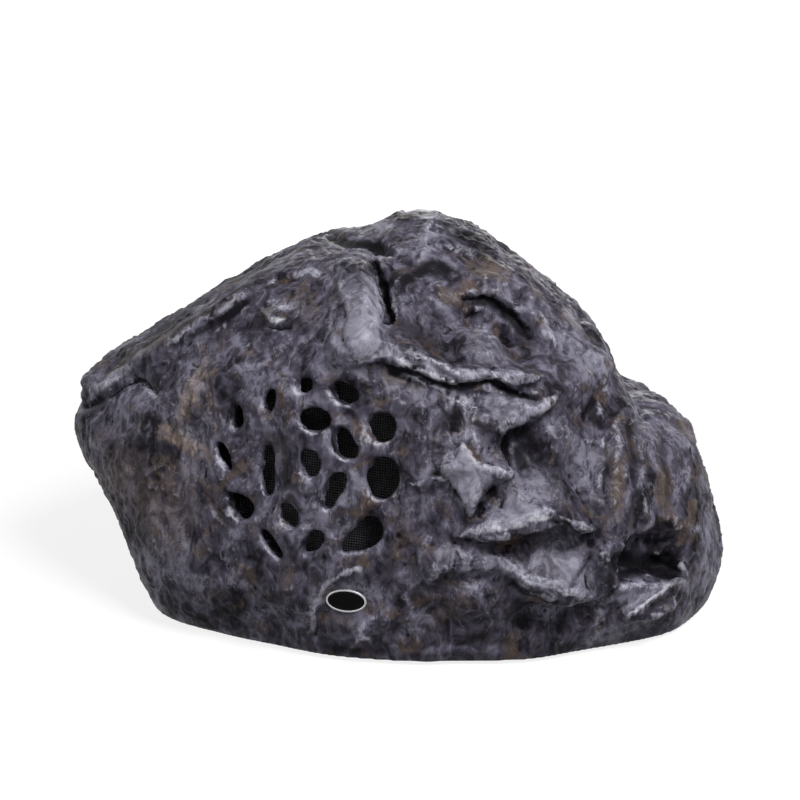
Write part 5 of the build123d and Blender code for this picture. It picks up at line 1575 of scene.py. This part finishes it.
    def daub(self, mesh: Mesh) -> None:
        """Lay the painter's colours, painted highlight and shade among them, on the rock: by its form all
        over, by strokes on the front.

        Args:
            mesh: the rock's mesh, which gets one attribute for each colour.
        """
        points, ways = coordinates(mesh), normals(mesh)
        every = np.ones(len(points))
        calm, heights = points, {}
        for rounds in range(1, self.swell_rounds + 1):
            calm = self.relaxed(mesh, calm, every, self.form_relax)
            if rounds in (self.edge_rounds, self.swell_rounds):
                heights[rounds] = ((points - calm) * ways).sum(axis=1) / MM
        edge, swell = heights[self.edge_rounds], heights[self.swell_rounds]
        for _ in range(self.blur_rounds):
            edge = self.relaxed(mesh, np.repeat(edge[:, None], 3, axis=1), every, self.form_relax)[:, 0]
        front = eased(VIEW.facing(ways), self.brushed_span)
        mouth = np.empty(len(points), np.float32)
        mesh.attributes["mouth"].data.foreach_get("value", mouth)
        # Painted highlight on the rims of the sound holes, on their side towards the light.
        lit_rims = mouth ** 2 * eased(ways @ np.array(self.lit_side), self.lit_rim_span)
        covers = {tint: np.zeros(len(points)) for tint in Tint}
        # By form: pale paint with painted highlight on edges and swells, painted highlight on lit rims,
        # painted shade in creases and hollows, brown in hollows.
        covers[Tint.PALE] = (self.by_form(edge, self.edge_drybrush_and_highlight) + self.by_form(swell, self.swell_drybrush_and_highlight)
                             + self.painted_rim_highlight * lit_rims)
        covers[Tint.BRIGHT] = self.by_form(edge, self.painted_edge_highlight) + self.painted_rim_glint * lit_rims
        covers[Tint.BROWN] = self.by_form(-swell, self.brown_hollows)
        covers[Tint.DARK] = self.by_form(-edge, self.painted_crease_shade) + self.by_form(-swell, self.painted_hollow_shade)
        spots = self.spots(points)
        # Facets get a painted sheen, brightest at one spot.
        for facet in FACETS:
            covers[Tint.SATIN] = np.maximum(covers[Tint.SATIN], facet.painted_sheen_cover(spots) * front)
        for tint, strokes in STROKES.items():
            for stroke in strokes:
                covers[tint] = np.maximum(covers[tint], stroke.cover(spots) * front)
        for tint, cover in covers.items():
            set_attribute(mesh, tint.value, np.clip(cover, 0, 1))


def dress(node: str, finish: Finish) -> None:
    """Give a solid of the frame its finish."""
    bpy.data.objects[node].data.materials.clear()
    bpy.data.objects[node].data.materials.append(finish.material())


@dataclass
class ScreenCloth:
    """Wire cloth behind the sound holes: two layers of straight wires within the solid's disc."""

    node: str = "grille_screen"
    slot: str = "screen_mesh"
    pitch_mm: float = 1.7
    wire_mm: float = 0.5
    wire_sides: int = 5
    radius_mm: float = 82.6
    finish: Finish = COATED_WIRE

    def build(self, axis: Vector) -> Object:
        """Lay the wires and set them into the solid's place.

        Args:
            axis: the driver's axis, pointing out.

        Returns:
            The finished cloth.
        """
        cloth = new_object("wire_cloth", bpy.data.meshes.new("wire_cloth"))
        count = 2 * int(self.radius_mm / self.pitch_mm) + 1
        use_tree(cloth, self.weaving(), {"Radius": self.radius_mm * MM, "Pitch": self.pitch_mm * MM,
                                         "Wire": self.wire_mm * MM, "Count": count,
                                         "Finish": self.finish.material()})
        low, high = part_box(self.node)
        turn = axis.to_track_quat("Z", "Y").to_matrix().to_4x4()
        cloth.data.transform(Matrix.Translation((low + high) / 2) @ turn)
        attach(cloth, BODY)
        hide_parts(self.node)
        return cloth

    def weaving(self) -> NodeTree:
        """Make the tree that lays one layer of wires across another.

        Returns:
            The geometry node tree.
        """
        sizes = {size: "NodeSocketFloat" for size in ("Radius", "Pitch", "Wire")}
        tree = new_tree("wire_cloth", sizes | {"Count": "NodeSocketInt", "Finish": "NodeSocketMaterial"})
        given = add_node(tree, "NodeGroupInput").outputs
        # The first wire lies half the row before the middle.
        half = add_node(tree, MATH, {
            0: given["Count"], 1: -0.5, 2: 0.5}, operation="MULTIPLY_ADD").outputs[0]
        start = add_node(tree, MATH, {0: half, 1: given["Pitch"]}, operation="MULTIPLY").outputs[0]
        first = add_node(tree, COMBINE, {"X": start}).outputs[0]
        step = add_node(tree, COMBINE, {"X": given["Pitch"]}).outputs[0]
        row = add_node(tree, "GeometryNodeMeshLine", {
            "Count": given["Count"], "Start Location": first, "Offset": step}).outputs[0]
        # Each wire is as long as the disc is wide there.
        place = add_node(tree, "GeometryNodeInputPosition").outputs[0]
        across = add_node(tree, "ShaderNodeSeparateXYZ", {0: place}).outputs["X"]
        square, whole = (add_node(tree, MATH, {0: size, 1: size}, operation="MULTIPLY").outputs[0]
                         for size in (across, given["Radius"]))
        rest = add_node(tree, MATH, {0: whole, 1: square}, operation="SUBTRACT").outputs[0]
        reach = add_node(tree, MATH, {0: rest}, operation="SQRT").outputs[0]
        length = add_node(tree, MATH, {0: reach, 1: 2.0}, operation="MULTIPLY").outputs[0]
        thick = add_node(tree, MATH, {0: given["Wire"], 1: 0.5}, operation="MULTIPLY").outputs[0]
        wire = add_node(tree, "GeometryNodeMeshCylinder", {
            "Vertices": self.wire_sides, "Radius": thick, "Depth": 1.0}).outputs[0]
        stretch = add_node(tree, COMBINE, {"X": 1.0, "Y": 1.0, "Z": length}).outputs[0]
        laid = add_node(tree, "GeometryNodeInstanceOnPoints", {
            "Points": row, "Instance": wire, "Rotation": (math.pi / 2, 0, 0), "Scale": stretch}).outputs[0]
        # One layer lies half a wire low, and the other half a wire high and turned across it.
        sunk = add_node(tree, MATH, {0: thick, 1: -1.0}, operation="MULTIPLY").outputs[0]
        low, high = (add_node(tree, COMBINE, {"Z": height}).outputs[0] for height in (sunk, thick))
        lower = add_node(tree, TRANSFORM, {"Geometry": laid, "Translation": low}).outputs[0]
        upper = add_node(tree, TRANSFORM, {
            "Geometry": laid, "Translation": high, "Rotation": (0, 0, math.pi / 2)}).outputs[0]
        both = add_node(tree, "GeometryNodeJoinGeometry", {0: lower})
        tree.links.new(upper, both.inputs[0])
        close_tree(tree, both.outputs[0], given["Finish"])
        return tree


@dataclass
class PanScrews:
    """Cross-recessed pan head screws, one set for each node of identical screws."""

    nodes: tuple[str, ...] = ("driver_screws", "base_screws", "transformer_screws")
    slot: str = "stainless_steel"
    sides: int = 28
    recess_mm: float = 0.9
    # What counts as head, brim and shank, as shares of the radius and the length.
    head_share: float = 0.8
    brim_share: float = 0.9
    shank_share: float = 0.3
    # The head's crown and the recess, as shares of the head's radius and height.
    crown_share: float = 0.72
    recess_share: float = 1.05
    recess_lift: float = 0.85
    finish: Finish = STAINLESS

    def build(self) -> list[Object]:
        """Make every set of screws.

        Returns:
            The sets, one piece for each node.
        """
        tree = self.turning()
        return [self.screw_set(node, tree) for node in self.nodes]

    def screw_set(self, node: str, tree: NodeTree) -> Object:
        """Put a screw wherever the node has one, at the solid's own size.

        Args:
            node: the solids' name in the frame.
            tree: the tree that makes and places the screws.

        Returns:
            The set as one piece.
        """
        seats, ways, sizes = [], [], []
        for points in self.loose_parts(node):
            middle = points.mean(axis=0)
            way = np.linalg.svd(points - middle)[2][0]
            along = (points - middle) @ way
            across = np.linalg.norm(points - middle - along[:, None] * way, axis=1)
            if along[across > self.head_share * across.max()].mean() < 0:
                way, along = -way, -along
            shank = across[along < along.min() + self.shank_share * np.ptp(along)].max()
            under = along[across > self.brim_share * across.max()].min()
            seats.append(middle + way * under)
            ways.append(way)
            sizes.append((across.max(), along.max() - under, shank, under - along.min()))
        mesh = bpy.data.meshes.new(node + "_pan_head")
        mesh.from_pydata(seats, [], [])
        mesh.attributes.new("way", "FLOAT_VECTOR", "POINT").data.foreach_set("vector", np.ravel(ways))
        screws = new_object(node + "_pan_head", mesh)
        head, height, shank, length = (float(size) for size in np.array(sizes).mean(axis=0))
        use_tree(screws, tree, {"Head radius": head, "Head height": height, "Shank radius": shank,
                                "Length": length, "Recess width": self.recess_mm * MM,
                                "Finish": self.finish.material()})
        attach(screws, BODY)
        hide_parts(node)
        return screws

    def loose_parts(self, node: str) -> list[np.ndarray]:
        """Split a node's mesh into its separate solids.

        Args:
            node: the solids' name in the frame.

        Returns:
            The points of each solid.
        """
        work = merged_copy(node)
        left, parts = set(work.verts), []
        while left:
            edge, part = [left.pop()], []
            while edge:
                point = edge.pop()
                part.append(tuple(point.co))
                fresh = {link.other_vert(point) for link in point.link_edges} & left
                left -= fresh
                edge.extend(fresh)
            parts.append(np.array(part))
        work.free()
        return parts

    def turning(self) -> NodeTree:
        """Make the tree that forms one screw and sets it on every point.

        Returns:
            The geometry node tree.
        """
        names = ("Head radius", "Head height", "Shank radius", "Length", "Recess width")
        sizes = {size: "NodeSocketFloat" for size in names}
        tree = new_tree("pan_screws", sizes | {"Finish": "NodeSocketMaterial"})
        given = add_node(tree, "NodeGroupInput").outputs
        radius, height, width = (given[size] for size in ("Head radius", "Head height", "Recess width"))
        crown, reach = (add_node(tree, MATH, {0: radius, 1: share}, operation="MULTIPLY").outputs[0]
                        for share in (self.crown_share, self.recess_share))
        cut = add_node(tree, "GeometryNodeMeshCone", {
            "Vertices": self.sides, "Radius Top": crown, "Radius Bottom": radius,
            "Depth": height}).outputs[0]
        lift = add_node(tree, MATH, {0: height, 1: self.recess_lift}, operation="MULTIPLY").outputs[0]
        raised = add_node(tree, COMBINE, {"Z": lift}).outputs[0]
        for long, wide in ((reach, width), (width, reach)):
            size = add_node(tree, COMBINE, {"X": long, "Y": wide, "Z": height}).outputs[0]
            bar = add_node(tree, "GeometryNodeMeshCube", {"Size": size}).outputs[0]
            bar = add_node(tree, TRANSFORM, {"Geometry": bar, "Translation": raised}).outputs[0]
            cut = add_node(tree, "GeometryNodeMeshBoolean", {0: cut, 1: bar}, operation="DIFFERENCE",
                           solver="EXACT").outputs[0]
        shank = add_node(tree, "GeometryNodeMeshCylinder", {
            "Vertices": self.sides, "Radius": given["Shank radius"], "Depth": given["Length"]}).outputs[0]
        half = add_node(tree, MATH, {0: given["Length"], 1: -0.5}, operation="MULTIPLY").outputs[0]
        below = add_node(tree, COMBINE, {"Z": half}).outputs[0]
        shank = add_node(tree, TRANSFORM, {"Geometry": shank, "Translation": below}).outputs[0]
        screw = add_node(tree, "GeometryNodeJoinGeometry", {0: cut})
        tree.links.new(shank, screw.inputs[0])
        way = add_node(tree, "GeometryNodeInputNamedAttribute", {"Name": "way"}, data_type="FLOAT_VECTOR")
        turn = add_node(tree, "FunctionNodeAlignRotationToVector", {"Vector": way.outputs[0]}, axis="Z")
        spots = add_node(tree, "GeometryNodeMeshToPoints", {"Mesh": given["Geometry"]}).outputs[0]
        placed = add_node(tree, "GeometryNodeInstanceOnPoints", {
            "Points": spots, "Instance": screw.outputs[0], "Rotation": turn.outputs[0]}).outputs[0]
        close_tree(tree, placed, given["Finish"])
        return tree


@dataclass
class OvalPlate:
    """The oval plate low on the front: a bare enamel face inside a raised pale border."""

    node: str = "badge_plate"
    slot: str = "black_enamel_plate"
    sides: int = 72
    edge_mm: float = 0.5
    border_mm: float = 0.60
    step_mm: float = 0.3
    slope_mm: float = 0.2
    # How much of the edge is rounded, and where and how deep the face's flat middle lies.
    edge_round: float = 0.3
    flat_inset: float = 0.6
    flat_depth: float = 0.8
    face: Finish = BLACK_ENAMEL
    border: Finish = BORDER_METAL

    def build(self) -> Object:
        """Form the plate in the solid's own place.

        Returns:
            The finished plate.
        """
        points = coordinates(bpy.data.objects[self.node].data)
        spread = np.unique(points, axis=0) - points.mean(axis=0)
        long, short, out = np.linalg.svd(spread, full_matrices=False)[2]
        if out[1] > 0:
            out = -out
        short = np.cross(out, long)
        spans = [((points @ way).min(), (points @ way).max()) for way in (long, short, out)]
        middle = sum(way * (low + high) / 2 for way, (low, high) in zip((long, short, out), spans))
        half_long, half_short, half_thick = ((high - low) / 2 for low, high in spans)
        # Rings from the seat up: inset from the oval's edge and height, in millimetres.
        top = half_thick / MM
        inner = self.edge_mm + self.border_mm
        border = ((0, -top), (0, top - self.edge_mm),
                  (self.edge_mm * self.edge_round, top - self.edge_mm * self.edge_round),
                  (self.edge_mm, top), (inner, top))
        rings = border + ((inner + self.slope_mm, top - self.step_mm),
                          (half_short / MM * self.flat_inset, top - self.step_mm * self.flat_depth))
        work = bmesh.new()
        loops = []
        for inset, height in rings:
            loop = []
            for step in range(self.sides):
                angle = 2 * math.pi * step / self.sides
                spot = (long * math.cos(angle) * (half_long - inset * MM) + short * math.sin(angle)
                        * (half_short - inset * MM) + out * height * MM + middle)
                loop.append(work.verts.new(spot))
            loops.append(loop)
        for number, (lower, upper) in enumerate(zip(loops[:-1], loops[1:])):
            for step in range(self.sides):
                after = (step + 1) % self.sides
                face = work.faces.new((lower[step], lower[after], upper[after], upper[step]))
                face.material_index = int(number < len(border))
                face.smooth = True
        work.faces.new(loops[-1])
        work.faces.new(loops[0][::-1]).material_index = 1
        mesh = bpy.data.meshes.new("oval_plate")
        work.to_mesh(mesh)
        work.free()
        plate = new_object("oval_plate", mesh)
        for finish in (self.face, self.border):
            mesh.materials.append(finish.material())
        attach(plate, BODY)
        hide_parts(self.node)
        return plate


@dataclass
class FlexRing:
    """A flexible ring of the driver, cut into sectors between planes through its axis."""

    node: str
    slot: str
    finish: Finish
    sectors: int = 12
    # Points are told apart to this many digits of a metre.
    digits: int = 6

    def build(self, axis: Vector) -> list[Object]:
        """Cut the solid ring into sectors, each a piece of its own.

        Args:
            axis: the cone's travel.

        Returns:
            The sectors.
        """
        points = coordinates(bpy.data.objects[self.node].data)
        middle = Vector(np.unique(points.round(self.digits), axis=0).mean(axis=0))
        across = axis.orthogonal().normalized()
        pieces = []
        for number in range(self.sectors):
            turns = [2 * math.pi * (number + side) / self.sectors for side in (-0.5, 0.5)]
            work = merged_copy(self.node)
            for turn, sign in zip(turns, (-1, 1)):
                edge = Matrix.Rotation(turn, 3, axis) @ across
                whole = work.verts[:] + work.edges[:] + work.faces[:]
                cut = bmesh.ops.bisect_plane(work, geom=whole, plane_co=middle,
                                             plane_no=axis.cross(edge) * sign, clear_outer=True)
                rim = [item for item in cut["geom_cut"] if isinstance(item, bmesh.types.BMEdge)]
                bmesh.ops.holes_fill(work, edges=rim)
            mesh = bpy.data.meshes.new(f"{self.node}_sector_{number + 1}")
            work.to_mesh(mesh)
            work.free()
            mesh.materials.append(self.finish.material())
            piece = new_object(mesh.name, mesh)
            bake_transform(piece)
            pieces.append(piece)
        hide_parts(self.node)
        return pieces


@dataclass(frozen=True)
class Lamp:
    """A soft box: where it stands, how wide it is and its share of a plain light level."""

    name: str
    place: Triple
    width: float
    share: float

    def hang(self, target: Vector) -> None:
        """Put the lamp up, aimed at the target.

        Args:
            target: what it lights, in metres.
        """
        light = bpy.data.lights.new(self.name, "AREA")
        light.size = self.width
        away = Vector(self.place) - target
        # A face turned to a soft box of this power at this distance shows a colour as it is written.
        light.energy = self.share * (math.pi * away.length) ** 2
        lamp = bpy.data.objects.new(self.name, light)
        lamp.location = self.place
        lamp.rotation_mode = "QUATERNION"
        lamp.rotation_quaternion = (-away).to_track_quat("-Z", "Y")
        bpy.context.scene.collection.objects.link(lamp)


@dataclass
class Studio:
    """Pale floor, soft light and the camera at the photograph's angle."""

    floor_size: float = 14.0
    floor_colour: str = "#808080"
    floor_roughness: float = 0.9
    # How far from the middle the floor's glow rises, and the glow at both ends.
    glow_range: Pair = (0.40, 1.20)
    glow: Pair = (0.84, 1.0)
    surround: float = 0.10
    view: PictureView = VIEW
    lamps: tuple[Lamp, ...] = (
        Lamp("key_soft_box", (0.80, -1.05, 1.85), 0.6, 1.0),
        Lamp("fill_soft_box", (-1.7, -1.6, 0.7), 1.0, 0.18),
        Lamp("back_soft_box", (0.3, 2.2, 0.5), 1.2, 0.32),
    )

    def build(self) -> None:
        """Put up the camera, the lamps, the surroundings and the floor."""
        self.place_camera()
        for lamp in self.lamps:
            lamp.hang(Vector(self.view.target))
        self.light_surroundings()
        self.lay_floor()
        bpy.context.scene.view_settings.view_transform = "Standard"

    def place_camera(self) -> None:
        """Set the camera up at the photograph's angle."""
        camera = bpy.data.cameras.new("camera")
        camera.lens, camera.sensor_width = self.view.lens, self.view.sensor
        eye = bpy.data.objects.new("camera", camera)
        bpy.context.scene.collection.objects.link(eye)
        eye.location = self.view.eye()
        eye.rotation_mode = "QUATERNION"
        eye.rotation_quaternion = (-self.view.back()).to_track_quat("-Z", "Y")
        bpy.context.scene.camera = eye

    def seen_white(self, tree: NodeTree) -> NodeSocket:
        """Tell the rays that see the backdrop from those that light the object.

        Args:
            tree: the material's or the world's tree.

        Returns:
            1 for camera, glossy and transmission rays, 0 for the others.
        """
        path = add_node(tree, "ShaderNodeLightPath").outputs
        seen = add_node(tree, MATH, {0: path["Is Camera Ray"], 1: path["Is Glossy Ray"]}).outputs[0]
        return add_node(tree, MATH, {0: seen, 1: path["Is Transmission Ray"]}, use_clamp=True).outputs[0]

    def light_surroundings(self) -> None:
        """Make a world that looks white and lights the object weakly."""
        world = bpy.data.worlds.new("studio")
        world.use_nodes = True
        tree = world.node_tree
        lit = limits((0.0, 1.0), (self.surround, 1.0))
        strength = add_node(tree, MAP_RANGE, {"Value": self.seen_white(tree)} | lit)
        ground = tree.nodes["Background"]
        ground.inputs["Color"].default_value = (1, 1, 1, 1)
        tree.links.new(strength.outputs[0], ground.inputs["Strength"])
        bpy.context.scene.world = world

    def lay_floor(self) -> None:
        """Lay a pale floor that keeps the object's shadow."""
        mesh = bpy.data.meshes.new("floor")
        half = self.floor_size / 2
        corners = [(-half, -half, 0), (half, -half, 0), (half, half, 0), (-half, half, 0)]
        mesh.from_pydata(corners, [], [range(len(corners))])
        floor = new_object("floor", mesh)
        material = bpy.data.materials.new("pale_floor")
        material.use_nodes = True
        tree = material.node_tree
        shader = tree.nodes["Principled BSDF"]
        shader.inputs["Base Color"].default_value = linear(self.floor_colour)
        shader.inputs["Roughness"].default_value = self.floor_roughness
        shader.inputs["Specular IOR Level"].default_value = 0.0
        shader.inputs["Emission Color"].default_value = (1, 1, 1, 1)
        # Away from the object, where the lamps fade, the floor's own glow keeps it white.
        place = add_node(tree, "ShaderNodeTexCoord").outputs["Object"]
        away = add_node(tree, VECTOR_MATH, {0: place}, operation="LENGTH").outputs["Value"]
        rise = {"Value": away} | limits(self.glow_range, self.glow)
        glow = add_node(tree, MAP_RANGE, rise, interpolation_type="SMOOTHSTEP").outputs[0]
        glow = add_node(tree, MATH, {0: self.seen_white(tree), 1: glow}, operation="MULTIPLY")
        tree.links.new(glow.outputs[0], shader.inputs["Emission Strength"])
        mesh.materials.append(material)


def main() -> None:
    """Build every piece in order."""
    logging.basicConfig(level=logging.INFO, format="%(message)s")
    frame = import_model()
    Studio().build()
    slide = next(joint for joint in frame["joints"] if joint["name"] == "cone_travel")
    rock = RockShell().build(slide)
    axis = Vector(slide["axis"]).normalized()
    pieces = [rock, ScreenCloth().build(axis), OvalPlate().build()]
    pieces += PanScrews().build()
    pieces += FlexRing("cone_surround", "black_rubber", MOULDED_RUBBER).build(axis)
    pieces += FlexRing("cone_spider", "impregnated_cloth", VARNISHED_COTTON).build(axis)
    for node, finish in NODE_FINISHES.items():
        dress(node, finish)
    for piece in pieces:
        LOG.info("%s: %d faces", piece.name, len(piece.data.polygons))


if __name__ == "__main__":
    main()
